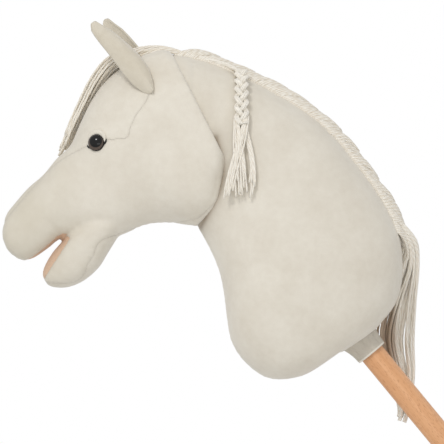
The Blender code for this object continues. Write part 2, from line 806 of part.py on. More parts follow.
def mane():
    """Yarn along the crest, falling over the far side of the neck."""
    upper = []
    lower = []
    for top_x, top_z, low_x, low_z, half_width in smooth_rows(NECK_SECTIONS, MANE_RINGS):
        if top_x > MANE_BACK_X / MM:
            break
        out = (Vector((top_x, top_z)) - Vector((low_x, low_z))).normalized()
        beyond = Vector((top_x, top_z)) + out * 2 * MANE_THICKNESS / MM
        upper.append(beyond)
        lower.append(Vector((top_x, max(top_z - MANE_DROP / MM, MANE_LOW_Z / MM))))
    outline = upper + lower[::-1]
    body = grown(neck, MANE_THICKNESS, "mane_outside")
    boolean(body, prism("mane_room", outline, -MANE_NEAR_EDGE, REACH), "INTERSECT")
    boolean(body, room("mane_ends", MANE_FRONT_X, REACH, -REACH, REACH), "INTERSECT")
    cut(body, neck_clear, head_clear, grown(mane_end_form(), SWING_GAP, "mane_end_room"))
    gap = SWING_GAP / MM
    far = REACH / MM
    x, y, z, half_depth, half_width = MANE_END_PATH[0]
    radius = half_width + gap
    corner = radius * math.sin(math.radians(45))
    swing = [(row[0] - row[4] - gap, row[2]) for row in MANE_END_PATH[::-1]]
    swing += [(x - corner, z + corner), (x, z + radius), (far, z + radius), (far, swing[0][1])]
    cut(body, prism("mane_end_swing", swing, -REACH, REACH))
    low_half = ((-far, z), (far, z), (far, -far), (-far, -far))
    cut(body, prism("mane_near_side", low_half, -REACH, 0))
    finish(body, "mane", YARN_COLOUR, 0.9)


def mane_end():
    """Free strands at the mane's lower end, on their own hinge line."""
    body = mane_end_form()
    cut(body, neck_clear)
    finish(body, "mane_end", YARN_COLOUR, 0.9)
    move_origin(body, Vector(MANE_END_PATH[0][:3]) * MM)


def forelock():
    """Lock of mane yarn drawn forward between the ears."""
    body = hanging("forelock", FORELOCK_PATH, FORELOCK_RINGS, FORELOCK_STEPS, (0, 1, 0))
    cut(body, head_clear, neck_clear)
    finish(body, "forelock", YARN_COLOUR, 0.9)
    move_origin(body, Vector(FORELOCK_PATH[0][:3]) * MM)


def braid_row(z, half_depth, half_width):
    """Row of the braid's path beside the neck, in mm."""
    point, normal = skin_point(NECK_SKIN, BRAID_X, z, -1)
    out = (half_depth + SWING_GAP) / MM
    seat = point / MM + normal * out
    return (BRAID_X / MM, seat.y, seat.z, half_depth / MM, half_width / MM)


def braid():
    """Plait that hangs against the near side of the neck, and its loose tassel."""
    root_y = -MANE_NEAR_EDGE - SWING_GAP - BRAID_HALF_DEPTH
    point, normal = skin_above(NECK_SKIN, BRAID_X, root_y)
    root = point + Vector((0, 0, BRAID_HALF_DEPTH + GAP))
    rows = [(root.x / MM, root.y / MM, root.z / MM, BRAID_HALF_DEPTH / MM, BRAID_HALF_WIDTH / MM)]
    drop = point.z - BRAID_KNOT_Z
    for share in BRAID_SHARES:
        rows.append(braid_row(point.z - drop * share, BRAID_HALF_DEPTH, BRAID_HALF_WIDTH))
    body = hanging("braid", rows, BRAID_RINGS, BRAID_STEPS, (1, 0, 0))
    cut(body, neck_clear, head_swing_clear)
    finish(body, "braid", YARN_COLOUR, 0.9)
    move_origin(body, root)

    low = TASSEL_LOW_Z - BRAID_KNOT_Z
    rows = []
    for share in TASSEL_SHARES:
        width = BRAID_HALF_WIDTH + (TASSEL_HALF_WIDTH - BRAID_HALF_WIDTH) * share
        depth = BRAID_HALF_DEPTH + (TASSEL_HALF_DEPTH - BRAID_HALF_DEPTH) * share
        rows.append(braid_row(BRAID_KNOT_Z - GAP + low * share, depth, width))
    tassel = hanging("braid_tassel", rows, BRAID_RINGS, BRAID_STEPS, (1, 0, 0))
    cut(tassel, neck_clear, head_swing_clear, grown(body_at_rest(body), GAP, "braid_room"))
    finish(tassel, "braid_tassel", YARN_COLOUR, 0.9)
    move_origin(tassel, root)


def body_at_rest(body):
    """Copy a placed piece with its place in its mesh."""
    twin = guide(body.name + "_at_rest", body.data.copy())
    return place(twin, Matrix.Translation(body.location))


stick()
stick_sleeve()
neck_cuff()
neck_cover()
neck_stuffing()
head_cover()
head_stuffing()
eyes()
ears()
mane()
mane_end()
forelock()
braid()
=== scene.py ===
"""Looks of the plush hobby horse: its sewn covers, yarn, eyes and stick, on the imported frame."""
import math
import random

import bmesh
import bpy
from mathutils import Matrix, Vector
from mathutils.bvhtree import BVHTree
from mathutils.kdtree import KDTree
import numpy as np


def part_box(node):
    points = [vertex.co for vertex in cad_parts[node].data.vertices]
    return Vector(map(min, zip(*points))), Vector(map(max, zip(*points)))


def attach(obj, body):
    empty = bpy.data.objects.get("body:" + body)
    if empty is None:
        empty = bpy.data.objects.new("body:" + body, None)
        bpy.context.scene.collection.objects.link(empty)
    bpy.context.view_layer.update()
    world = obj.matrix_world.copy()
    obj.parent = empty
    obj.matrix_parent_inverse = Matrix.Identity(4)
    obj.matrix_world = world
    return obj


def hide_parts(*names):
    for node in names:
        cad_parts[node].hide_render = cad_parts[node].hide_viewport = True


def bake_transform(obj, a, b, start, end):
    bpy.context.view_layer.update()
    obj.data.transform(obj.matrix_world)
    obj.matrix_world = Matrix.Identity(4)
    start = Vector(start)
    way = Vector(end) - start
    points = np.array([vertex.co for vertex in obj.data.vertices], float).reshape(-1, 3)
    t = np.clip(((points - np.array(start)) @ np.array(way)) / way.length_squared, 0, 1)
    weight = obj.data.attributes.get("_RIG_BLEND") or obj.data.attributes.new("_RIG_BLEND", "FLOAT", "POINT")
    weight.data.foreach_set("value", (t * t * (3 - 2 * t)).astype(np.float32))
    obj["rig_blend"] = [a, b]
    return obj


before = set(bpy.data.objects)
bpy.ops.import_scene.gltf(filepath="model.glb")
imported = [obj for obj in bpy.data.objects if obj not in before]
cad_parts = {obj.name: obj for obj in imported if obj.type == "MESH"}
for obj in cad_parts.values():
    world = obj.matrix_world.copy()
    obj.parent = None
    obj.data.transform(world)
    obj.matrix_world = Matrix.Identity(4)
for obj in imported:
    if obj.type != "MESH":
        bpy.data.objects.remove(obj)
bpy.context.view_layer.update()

# Studio: the toy stands on the foot of its stick on a pale floor. A soft lamp with a bright
# core hangs above and in front of it, a wide one fills from the side, and the walls are white.
MM = 0.001
PICTURE_WIDTH = 444
PICTURE_SCALE = 1.04 * MM
PICTURE_ORIGIN = (425.0, 417.5)
CAMERA_DISTANCE = 5.0
SENSOR = 36.0
ROOM_LIGHT = 0.67
LAMP_AIM = Vector((-0.2, 0.0, 0.2))
LAMPS = (
    ("high_lamp", Vector((-1.2, -2.5, 2.2)), 0.8, 15.0),
    ("catch_lamp", Vector((-1.2, -2.4, 2.1)), 0.38, 13.0),
    ("fill_lamp", Vector((0.1, -3.6, -0.6)), 2.2, 24.0),
)
WHITE = (1.0, 1.0, 1.0, 1.0)
FLOOR_COLOUR = (0.88, 0.88, 0.87, 1.0)
FLOOR_WIDTH = 6.0
FLOOR_FADE = (0.7, 1.9)
FLOOR_DROP = 0.5 * MM


class Dye:
    """An output socket of a material's nodes, with sums written as Python."""

    def __init__(self, tree, socket=None):
        self.tree, self.socket = tree, socket

    def add(self, kind, values=(), out=0, **settings):
        """Add a node: settings first, then the values or links of its sockets."""
        node = self.tree.nodes.new(kind)
        for name, value in settings.items():
            setattr(node, name, value)
        for name, value in dict(values).items():
            if isinstance(value, Dye):
                self.tree.links.new(value.socket, node.inputs[name])
            else:
                node.inputs[name].default_value = value
        return Dye(self.tree, node.outputs[out])

    def worked(self, operation, *others):
        """Put this value and the others through one Math node."""
        return self.add("ShaderNodeMath", enumerate((self, *others)), operation=operation)

    def __add__(self, other):
        return self.worked("ADD", other)

    def __sub__(self, other):
        return self.worked("SUBTRACT", other)

    def __rsub__(self, other):
        return self.add("ShaderNodeMath", enumerate((other, self)), operation="SUBTRACT")

    def __mul__(self, other):
        return self.worked("MULTIPLY", other)

    __radd__ = __add__
    __rmul__ = __mul__

    def spread(self, low, high, first=0.0, last=1.0):
        """Stretch the reach from low to high over that from first to last."""
        return self.add("ShaderNodeMapRange", {0: self, 1: low, 2: high, 3: first, 4: last})

    def part(self, index):
        """One number of a place: 0 is x, 1 is y and 2 is z."""
        return self.add("ShaderNodeSeparateXYZ", {0: self}, index)

    def mixed(self, first, second):
        """Mix two colours by this share."""
        pair = [value if isinstance(value, Dye) else (*value, 1.0) for value in (first, second)]
        return self.add("ShaderNodeMix", {0: self, 6: pair[0], 7: pair[1]}, 2, data_type="RGBA")


def dye_bath(name, roughness, **fixed):
    """Start a material: its shader, and a Dye to grow its nodes from."""
    finish = bpy.data.materials.new(name)
    finish.use_nodes = True
    shader = finish.node_tree.nodes["Principled BSDF"]
    shader.inputs["Roughness"].default_value = roughness
    for label, value in fixed.items():
        shader.inputs[label.replace("_", " ")].default_value = value
    return finish, shader, Dye(finish.node_tree)


def linked(name, data):
    """Put a new object in the scene."""
    made = bpy.data.objects.new(name, data)
    scene.collection.objects.link(made)
    return made


def mesh_of(name, work):
    """Close a bmesh into a new mesh."""
    mesh = bpy.data.meshes.new(name)
    work.to_mesh(mesh)
    work.free()
    return mesh


scene = bpy.context.scene
scene.view_settings.view_transform = "Standard"

camera = linked("camera", bpy.data.cameras.new("camera"))
half_picture = PICTURE_WIDTH / 2
camera.location = (
    (half_picture - PICTURE_ORIGIN[0]) * PICTURE_SCALE,
    -CAMERA_DISTANCE,
    (PICTURE_ORIGIN[1] - half_picture) * PICTURE_SCALE,
)
camera.rotation_euler = (math.radians(90.0), 0.0, 0.0)
camera.data.sensor_width = SENSOR
camera.data.lens = SENSOR * CAMERA_DISTANCE / (PICTURE_WIDTH * PICTURE_SCALE)
scene.camera = camera

for name, place, width, power in LAMPS:
    lamp = linked(name, bpy.data.lights.new(name, "AREA"))
    lamp.data.shape = "SQUARE"
    lamp.data.size = width
    lamp.data.energy = power
    lamp.location = place
    lamp.rotation_euler = (LAMP_AIM - place).to_track_quat("-Z", "Y").to_euler()

room = bpy.data.worlds.new("white_room")
scene.world = room
room.use_nodes = True
room_glow = room.node_tree.nodes["Background"]
room_glow.inputs["Color"].default_value = WHITE
room_glow.inputs["Strength"].default_value = ROOM_LIGHT
glow = Dye(room.node_tree, room_glow.outputs[0])
rays = [
    glow.add("ShaderNodeLightPath", out=kind)
    for kind in ("Is Camera Ray", "Is Glossy Ray", "Is Transmission Ray")
]
seen = rays[0].worked("MAXIMUM", rays[1]).worked("MAXIMUM", rays[2])
white = seen.add("ShaderNodeBackground", {"Color": WHITE})
shown = seen.add("ShaderNodeMixShader", {0: seen, 1: glow, 2: white})
room.node_tree.links.new(shown.socket, room.node_tree.nodes["World Output"].inputs["Surface"])

floor_paint, shader, dye = dye_bath("floor_paint", 0.9, Base_Color=FLOOR_COLOUR)
reach = dye.add("ShaderNodeTexCoord", out="Object")
reach = reach.add("ShaderNodeVectorMath", {0: reach}, "Value", operation="LENGTH")
faded = {0: reach, 1: FLOOR_FADE[0], 2: FLOOR_FADE[1]}
faded = reach.add("ShaderNodeMapRange", faded, interpolation_type="SMOOTHSTEP")
seen = faded * dye.add("ShaderNodeLightPath", out="Is Camera Ray")
paint = Dye(dye.tree, shader.outputs[0])
shown = seen.add("ShaderNodeMixShader", {0: seen, 1: paint, 2: dye.add("ShaderNodeEmission")})
dye.tree.links.new(shown.socket, dye.tree.nodes["Material Output"].inputs["Surface"])
floor_sheet = bmesh.new()
bmesh.ops.create_grid(floor_sheet, x_segments=1, y_segments=1, size=FLOOR_WIDTH / 2)
floor_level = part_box("stick")[0].z - FLOOR_DROP
bmesh.ops.translate(floor_sheet, verts=floor_sheet.verts, vec=(0.0, 0.0, floor_level))
floor = linked("floor", mesh_of("floor", floor_sheet))
floor.data.materials.append(floor_paint)

# Stick: a turned beech dowel, sanded and oiled to an orange tan, with broken edges. The
# grain runs along it, with the short dark flecks that beech has.
STICK_TILT = math.radians(39.5)
STICK_RADIUS = 13.0 * MM
STICK_TOP = 359.0 * MM
STICK_LOW = -491.0 * MM
STICK_CHAMFER = 1.5 * MM
STICK_SIDES = 72
STICK_FRAME = Matrix.Rotation(-STICK_TILT, 4, "Y")
BEECH_LIGHT = (0.80, 0.440, 0.225)
BEECH_DARK = (0.68, 0.335, 0.150)
BEECH_FLECK = (0.52, 0.22, 0.09)


def soak(shader, colour, rough=None, height=None, depth=1.0 * MM, strength=1.0):
    """Feed a shader its colour, its roughness and its relief."""
    if height:
        values = {"Strength": strength, "Distance": depth, "Height": height}
        height = height.add("ShaderNodeBump", values)
    for label, dye in (("Base Color", colour), ("Roughness", rough), ("Normal", height)):
        if dye:
            dye.tree.links.new(dye.socket, shader.inputs[label])


def turned_place(dye, turn=None, place=None):
    """Read a place on the piece: moved, then turned."""
    here = dye.add("ShaderNodeTexCoord", out="Object")
    for label, value in (("Location", place), ("Rotation", turn)):
        if value:
            here = here.add("ShaderNodeMapping", {"Vector": here, label: value})
    return here


def speckle(place, scale, detail):
    """Soft noise from 0 to 1 at a number of grains to the metre."""
    return place.add("ShaderNodeTexNoise", {"Vector": place, "Scale": scale, "Detail": detail})


def add_piece(name, work, finish, body, slot, *nodes, sharp=None):
    """Dress a shape in its finish and hang it on its body in place of its nodes.

    A piece that is blended between two bodies afterwards is hung on none here."""
    piece = linked(name, mesh_of(name, work))
    piece.data.materials.append(finish)
    piece.data.shade_smooth()
    if sharp:
        piece.data.set_sharp_from_angle(angle=math.radians(sharp))
    if body:
        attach(piece, body)
    if nodes:
        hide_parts(*nodes)
    return piece


def dowel(sides, radius, low, high):
    """An upright cylinder between two heights, closed at both ends."""
    work = bmesh.new()
    bmesh.ops.create_cone(
        work, cap_ends=True, segments=sides, radius1=radius, radius2=radius, depth=high - low,
    )
    bmesh.ops.translate(work, verts=work.verts, vec=(0.0, 0.0, (high + low) / 2))
    return work


beech, shader, dye = dye_bath("oiled_beech", 0.45)
place = turned_place(dye, (0.0, STICK_TILT, 0.0))
drawn_out = [
    place.add("ShaderNodeMapping", {"Vector": place, "Scale": (1, 1, length)})
    for length in (0.04, 0.16)
]
streaks = speckle(drawn_out[0], 260.0, 4.0)
fleck_mask = speckle(drawn_out[1], 1500.0, 0.0).spread(0.63, 0.72)
share = streaks * 0.75 + speckle(place, 14.0, 1.0) * 0.25
wood = share.spread(0.3, 0.7).mixed(BEECH_DARK, BEECH_LIGHT)
wood = (fleck_mask * 0.55).mixed(wood, BEECH_FLECK)
soak(shader, wood, streaks * 0.18 + 0.36, streaks - fleck_mask * 0.6, 0.12 * MM, 0.5)

work = dowel(STICK_SIDES, STICK_RADIUS, STICK_LOW, STICK_TOP)
rims = [edge for edge in work.edges if edge.calc_face_angle(0.0) > 1.0]
bmesh.ops.bevel(
    work, geom=rims, offset=STICK_CHAMFER, segments=4, profile=0.5, affect="EDGES", material=-1,
)
bmesh.ops.transform(work, matrix=STICK_FRAME, verts=work.verts)
add_piece("beech_stick", work, beech, "stick", "beech", "stick", sharp=60.0)

# Pocket: a tube of plain woven cotton, sewn shut at its inner end, that takes the stick.
# It is cut flat, folded round and closed with one seam.
POCKET_BORE = STICK_RADIUS + 0.3 * MM
POCKET_CLOTH = 1.0 * MM
POCKET_LOW = 111.3 * MM
POCKET_TOP = 360.3 * MM
POCKET_SIDES = 48
COTTON_LIGHT = (0.62, 0.58, 0.51)
COTTON_DARK = (0.48, 0.44, 0.38)


def thicken(piece, thickness, offset=-1.0):
    """Give a piece of cloth its thickness, inwards unless told otherwise."""
    cloth = piece.modifiers.new("cloth", "SOLIDIFY")
    cloth.thickness = thickness
    cloth.offset = offset


pocket_cloth, shader, dye = dye_bath("pocket_cotton", 0.92)
place = turned_place(dye, (0.0, STICK_TILT, 0.0))
around = place.part(1).worked("ARCTAN2", place.part(0))
weave = (around * 60.0).worked("SINE") * (place.part(2) * 4500.0).worked("SINE") * 0.5 + 0.5
soak(shader, weave.mixed(COTTON_DARK, COTTON_LIGHT), height=weave, depth=0.2 * MM)

work = dowel(POCKET_SIDES, POCKET_BORE + POCKET_CLOTH, POCKET_LOW, POCKET_TOP)
mouth = [face for face in work.faces if face.normal.z < -0.9]
bmesh.ops.delete(work, geom=mouth, context="FACES")
long_edges = [edge for edge in work.edges if edge.calc_length() > 100 * MM]
bmesh.ops.subdivide_edges(work, edges=long_edges, cuts=24, use_grid_fill=True)
bmesh.ops.transform(work, matrix=STICK_FRAME, verts=work.verts)
pocket = add_piece(
    "stick_pocket", work, pocket_cloth, "head", "pocket_cloth", "stick_sleeve", sharp=60.0,
)
thicken(pocket, POCKET_CLOTH)

# Neck cover: two big panels of short-pile plush, sewn together along the throat and to
# the mane's tape along the crest, then filled hard so that the cloth swells off its seams.

# A section holds its top x and z, its low x and z, and half its width, in mm. Roundness is
# how much wider it is low down than high up, and how square it is (2 is an oval).
NECK_SECTIONS = (
    (-296, 374, -268, 240, 38),
    (-266, 378, -248, 224, 42),
    (-229, 372, -240, 201, 47),
    (-182, 352, -226, 175, 52.5),
    (-140, 329, -216, 151, 58),
    (-102, 301, -211, 126, 63),
    (-74, 268, -208, 101, 66),
    (-45, 228, -203, 77, 67),
    (-27, 190, -187, 54, 64),
    (-23, 151, -161, 38, 56),
    (-30, 119, -125, 42, 43),
    (-51, 92, -94, 63, 26),
)
NECK_ROUNDNESS = (0.10, 2.2)
NECK_ROWS = 56
AROUND = 72
CREST_SHARE = 0.12
TAPE_HALF = 4.5 * MM
PLUSH_THICKNESS = 2.0 * MM
COVER_GRAIN = 4.6 * MM
COVER_SLACK = 2.2 * MM
COVER_SWELL = 3.0 * MM
FILL_PRESSURE = 4.0
FILL_FRAMES = 20
SEAM_REACH = 4.5 * MM
SEAM_SINK = 0.4 * MM
SEAM_END = 14.0 * MM
PUCKER_HEIGHT = 0.12 * MM
CHEEK_EDGE = ((-218, 290), (-213, 270), (-211, 252), (-216, 232), (-226, 212), (-234, 198))
# Painted shade in the crease under the jowl: each pair is an amount and a reach of darkening off the cheek's
# edge.
CHEEK_CREASE_PAINTED_SHADE = ((5.0, 3.0 * MM), (2.2, 8.0 * MM), (0.9, 16.0 * MM))
HIDDEN_NECK = -245.0 * MM
CUFF_MOUTH = 20.1 * MM
CUFF_TOP = 111.0 * MM
NECK_FRONT_CUT = 12
PLUSH_LIGHT = (0.790, 0.745, 0.655)
PLUSH_DARK = (0.700, 0.645, 0.550)
# Colour of the seam lines, and of the painted shade along the jowl's crease.
PLUSH_SEAM_AND_PAINTED_SHADE = (0.36, 0.30, 0.23)
PLUSH_MUZZLE_DARK = (0.60, 0.55, 0.44)
PLUSH_PATCHES = 30.0
PLUSH_STROKES = 150.0
PLUSH_NAP = 1400.0
# Share of that colour at the seam lines and in the painted shade.
SEAM_AND_PAINTED_SHADE_SHARE = 0.13
MUZZLE_DARKENING_SPAN = (-345.0 * MM, -415.0 * MM)


def result_of(blank, layers=False):
    """The mesh that a blank object comes out as. The blank is thrown away."""
    graph = bpy.context.evaluated_depsgraph_get()
    mesh = bpy.data.meshes.new_from_object(
        blank.evaluated_get(graph), preserve_all_data_layers=layers, depsgraph=graph,
    )
    bpy.data.objects.remove(blank)
    return mesh


def through(mesh, kind, **settings):
    """Run a mesh through one modifier."""
    blank = linked("blank", mesh)
    step = blank.modifiers.new(kind.lower(), kind)
    for name, value in settings.items():
        setattr(step, name, value)
    return result_of(blank)


def opened(mesh):
    """Open a mesh for modelling."""
    work = bmesh.new()
    work.from_mesh(mesh)
    return work


def smooth_rows(rows, count):
    """Read a smooth curve through the rows at evenly spaced places."""
    last = len(rows) - 1
    result = []
    for step in range(count):
        place = step * last / (count - 1)
        index = min(int(place), last - 1)
        share = place - index
        before = rows[max(index - 1, 0)]
        after = rows[min(index + 2, last)]
        row = []
        for a, b, c, d in zip(before, rows[index], rows[index + 1], after):
            value = 2 * b + (c - a) * share + (2 * a - 5 * b + 4 * c - d) * share ** 2
            row.append((value + (3 * b - a - 3 * c + d) * share ** 3) / 2)
        result.append(row)
    return result


def lofted(rows, sides, placed, closed=True):
    """Loft a ring for each row. A unit circle's points are placed, one by one, for that row."""
    work = bmesh.new()
    rings = []
    for row in rows:
        ring = bmesh.ops.create_circle(work, segments=sides, radius=1.0)["verts"]
        for vert in ring:
            vert.co = placed(row, vert.co)
        rings.append(ring)
    loops = [
        list(dict.fromkeys(edge for vert in ring for edge in vert.link_edges)) for ring in rings
    ]
    for near, far in zip(loops, loops[1:]):
        bmesh.ops.bridge_loops(work, edges=near + far)
    if closed:
        for loop in (loops[0], loops[-1]):
            bmesh.ops.edgeloop_fill(work, edges=loop)
    bmesh.ops.recalc_face_normals(work, faces=work.faces)
    return work


def on_section(section, spot):
    """A unit circle's point on a stuffed form's section."""
    top_x, top_z, low_x, low_z, half_width, pear, square = section
    top = Vector((top_x, 0, top_z)) * MM
    low = Vector((low_x, 0, low_z)) * MM
    up = math.copysign(abs(spot.y) ** (2 / square), spot.y)
    side = math.copysign(abs(spot.x) ** (2 / square), spot.x)
    width = half_width * MM * (1 - pear * up)
    return (top + low) / 2 + (top - low) / 2 * up + Vector((0, width * side, 0))


def stuffed_form(sections, rows, roundness=()):
    """Loft a stuffed form from its sections. A roundness given apart holds for them all."""
    sections = [(*section, *roundness) for section in sections]
    return lofted(smooth_rows(sections, rows), AROUND, on_section)


def seam_line(points, count):
    """Smooth a seam's points, in mm as seen from the side, into a fine line in metres."""
    return [Vector(point) * MM for point in smooth_rows(points, count)]


def distance_from(line):
    """Make a measure of how far a side-view place lies from a line."""
    spots = []
    for start, end in zip(line, line[1:]):
        count = max(1, math.ceil((end - start).length / (0.3 * MM)))
        spots += [start.lerp(end, step / count) for step in range(count)]
    tree = KDTree(len(spots))
    for index, spot in enumerate(spots):
        tree.insert((spot.x, spot.y, 0.0), index)
    tree.balance()
    return lambda place: tree.find((place.x, place.y, 0.0))[2]


def inside_of(outline):
    """Make a test of whether a side-view place lies inside a closed outline."""
    sheet = BVHTree.FromPolygons([(spot.x, spot.y, 0.0) for spot in outline], [range(len(outline))])
    down = Vector((0.0, 0.0, -1.0))
    return lambda place: sheet.ray_cast(Vector((place.x, place.y, 1.0)), down)[0] is not None


def filled(mesh, sewn, grain):
    """Blow a cover up against its seams. A point sewn fast stays, a free one swells."""
    mesh = through(mesh, "REMESH", mode="VOXEL", voxel_size=grain)
    held = [sewn(vertex.co) for vertex in mesh.vertices]
    outs = [vertex.normal.copy() for vertex in mesh.vertices]
    for vertex, out, (fast, sink) in zip(mesh.vertices, outs, held):
        vertex.co = vertex.co - out * COVER_SLACK * sink
    start = [vertex.co.copy() for vertex in mesh.vertices]
    blank = linked("blank", mesh)
    group = blank.vertex_groups.new(name="sewn")
    for index, (fast, sink) in enumerate(held):
        group.add([index], fast, "REPLACE")
    cloth = blank.modifiers.new("filling", "CLOTH")
    cloth.settings.quality = 5
    cloth.settings.vertex_group_mass = "sewn"
    cloth.settings.use_pressure = True
    cloth.settings.uniform_pressure_force = FILL_PRESSURE
    cloth.settings.effector_weights.gravity = 0.0
    cloth.point_cache.frame_start = 1
    cloth.point_cache.frame_end = FILL_FRAMES
    for number in range(1, FILL_FRAMES + 1):
        scene.frame_set(number)
    mesh = result_of(blank)
    scene.frame_set(1)
    for vertex, rest in zip(mesh.vertices, start):
        way = vertex.co - rest
        vertex.co = rest + way * (COVER_SWELL / (COVER_SWELL + way.length))
    return opened(through(mesh, "SUBSURF", levels=1, render_levels=1))


def cut_across(work, place, test):
    """Cut the faces that pass a test along a plane parallel to the horse's middle."""
    faces = []
    for face in work.faces:
        middle = face.calc_center_median()
        if abs(middle.y - place) < COVER_GRAIN and test(middle):
            faces.append(face)
    parts = {edge: None for face in faces for edge in face.edges}
    points = {vert: None for face in faces for vert in face.verts}
    bmesh.ops.bisect_plane(
        work, geom=[*faces, *parts, *points], dist=0.01 * MM,
        plane_co=(0.0, place, 0.0), plane_no=(0.0, 1.0, 0.0),
    )


def eased_rim(rim, turns, seated):
    """Smooth a rim along itself, seating each vertex again at every turn."""
    for turn in range(turns):
        places = []
        for vert in rim:
            ends = [edge.other_vert(vert).co for edge in vert.link_edges if edge.is_boundary]
            places.append((vert.co * 2 + sum(ends, Vector())) / (2 + len(ends)))
        for vert, place in zip(rim, places):
            vert.co = seated(place)


def bell(distance, reach):
    """One at no distance, falling off as a bell curve."""
    return math.exp(-(distance / reach) ** 2)


def sewn_down(work, panel_of):
    """Pull a cover in along its seams, with small puckers, and mark how near each point is."""
    seam_and_painted_shade_mark = work.verts.layers.float.new("seam")
    sewn = [
        edge for edge in work.edges
        if not edge.is_boundary
        and len(edge.link_faces) == 2
        and panel_of[edge.link_faces[0]] != panel_of[edge.link_faces[1]]
    ]
    ways = {}
    for edge in sewn:
        for vert in edge.verts:
            ways.setdefault(vert, []).append(edge)
    along = {}
    for first in sorted(ways, key=lambda vert: (vert.co.x, vert.co.y, vert.co.z)):
        if first in along:
            continue
        along[first] = 0.0
        queue = [first]
        while queue:
            vert = queue.pop(0)
            for edge in ways[vert]:
                other = edge.other_vert(vert)
                if other not in along:
                    along[other] = along[vert] + edge.calc_length()
                    queue.append(other)
    marks = list(along)
    tree = KDTree(len(marks))
    for index, vert in enumerate(marks):
        tree.insert(vert.co, index)
    tree.balance()
    moves = []
    for vert in work.verts:
        place, index, distance = tree.find(vert.co)
        if distance > SEAM_END:
            continue
        sink = bell(distance, 2.2 * MM) * SEAM_SINK + bell(distance, 6.0 * MM) * SEAM_SINK * 0.3
        length = along[marks[index]]
        wave = math.sin(length / (1.25 * MM)) + 0.6 * math.sin(length / (2.1 * MM) + 1.0)
        pucker = bell(distance - 3 * MM, 3.0 * MM) * PUCKER_HEIGHT * wave
        vert[seam_and_painted_shade_mark] = bell(distance, 1.3 * MM)
        moves.append((vert, vert.normal * (pucker - sink)))
    for vert, move in moves:
        vert.co += move


def panel_from(work, panel_of, wanted):
    """Copy one panel's faces out of a cover."""
    order = {face.index: panel_of[face] for face in work.faces}
    panel = work.copy()
    panel.faces.ensure_lookup_table()
    rest = [face for face in panel.faces if order[face.index] != wanted]
    bmesh.ops.delete(panel, geom=rest, context="FACES")
    return panel


def add_cover(name, cover, panel, finish, slot, node):
    """Add one panel of a cover as a padded piece of cloth."""
    piece = add_piece(name, panel_from(*cover, panel), finish, "head", slot, node)
    thicken(piece, PLUSH_THICKNESS)


def plush_finish(name, light, dark):
    """Short velour: a soft nap that lies a little lighter and darker in patches."""
    finish, shader, dye = dye_bath(
        name, 0.92, Sheen_Weight=0.4, Sheen_Roughness=0.45, Specular_IOR_Level=0.15,
    )
    place = turned_place(dye)
    muzzle = place.part(0).spread(*MUZZLE_DARKENING_SPAN)
    patches = speckle(place, PLUSH_PATCHES, 3.0)
    nap = speckle(place, PLUSH_NAP, 2.0)
    strokes = speckle(place, PLUSH_STROKES, 3.0)
    seam = dye.add("ShaderNodeAttribute", attribute_name="seam", out=2)
    share = patches * 0.9 + strokes * 0.5 + nap * 0.4
    cloth = share.spread(0.58, 1.2).mixed(dark, light)
    # The plush is darker towards the muzzle.
    cloth = (muzzle * (0.7 - patches * 0.4)).mixed(cloth, PLUSH_MUZZLE_DARK)
    # Seam lines are darker, and the same mark paints shade on the neck along the jowl's crease.
    cloth = (seam * SEAM_AND_PAINTED_SHADE_SHARE).mixed(cloth, PLUSH_SEAM_AND_PAINTED_SHADE)
    soak(shader, cloth, height=nap * 0.7 + strokes * 0.3, depth=0.35 * MM, strength=0.6)
    return finish


plush = plush_finish("short_plush", PLUSH_LIGHT, PLUSH_DARK)
neck_rows = smooth_rows(NECK_SECTIONS, NECK_ROWS)
crest = [Vector(row[0:2]) * MM for row in neck_rows]
throat = [Vector(row[2:4]) * MM for row in neck_rows]
crest_strip = [top + (top - low) * CREST_SHARE for top, low in zip(crest, throat)]
crest_strip += [top + (low - top) * CREST_SHARE for top, low in zip(crest, throat)][::-1]
in_crest_strip = inside_of(crest_strip)
from_crest = distance_from(crest)
from_throat = distance_from(throat)
from_cheek = distance_from(seam_line(CHEEK_EDGE, 30))
stick_line = STICK_FRAME.to_3x3() @ Vector((0.0, 0.0, 1.0))


def off_stick(place):
    """How high a place lies along the stick, and how it stands off its axis."""
    height = place.dot(stick_line)
    return height, place - stick_line * height


def round_stick(place):
    """The nearest place on the cuff's mouth, at the same height on the stick."""
    height, off = off_stick(place)
    return stick_line * height + off.normalized() * CUFF_MOUTH


def neck_hold(place):
    """How fast the neck's cover is held at a place, and how far it is pulled in."""
    side = place.xz
    height, off = off_stick(place)
    tape = abs(place.y) < TAPE_HALF + 3 * MM and from_crest(side) < 9 * MM
    seam = abs(place.y) < SEAM_REACH and from_throat(side) < 9 * MM
    cuff = height < CUFF_TOP + 12 * MM and off.length < CUFF_MOUTH + 6 * MM
    inside_head = place.x < HIDDEN_NECK
    fast = 1.0 if tape or seam or cuff or inside_head else 0.0
    return fast, 0.0 if cuff or tape or inside_head else 1.0


neck_pattern = mesh_of("neck_pattern", stuffed_form(NECK_SECTIONS, NECK_ROWS, NECK_ROUNDNESS))
neck_work = filled(neck_pattern, neck_hold, COVER_GRAIN)
neck_skin = BVHTree.FromBMesh(neck_work)

front_top = Vector((NECK_SECTIONS[0][0] + NECK_FRONT_CUT, 0, NECK_SECTIONS[0][1])) * MM
front_low = Vector((NECK_SECTIONS[0][2] + NECK_FRONT_CUT, 0, NECK_SECTIONS[0][3])) * MM
front_line = front_top - front_low
bmesh.ops.bisect_plane(
    neck_work, geom=[*neck_work.faces, *neck_work.edges, *neck_work.verts], dist=0.01 * MM,
    plane_co=front_low, plane_no=(-front_line.z, 0.0, front_line.x), clear_outer=True,
)
opening = []
for face in neck_work.faces:
    height, off = off_stick(face.calc_center_median())
    if height < CUFF_TOP + 15 * MM and off.length < CUFF_MOUTH:
        opening.append(face)
bmesh.ops.delete(neck_work, geom=opening, context="FACES")
mouth_rim = [
    vert for vert in neck_work.verts
    if vert.is_boundary and off_stick(vert.co)[0] < CUFF_TOP + 20 * MM
]
eased_rim(mouth_rim, 12, round_stick)

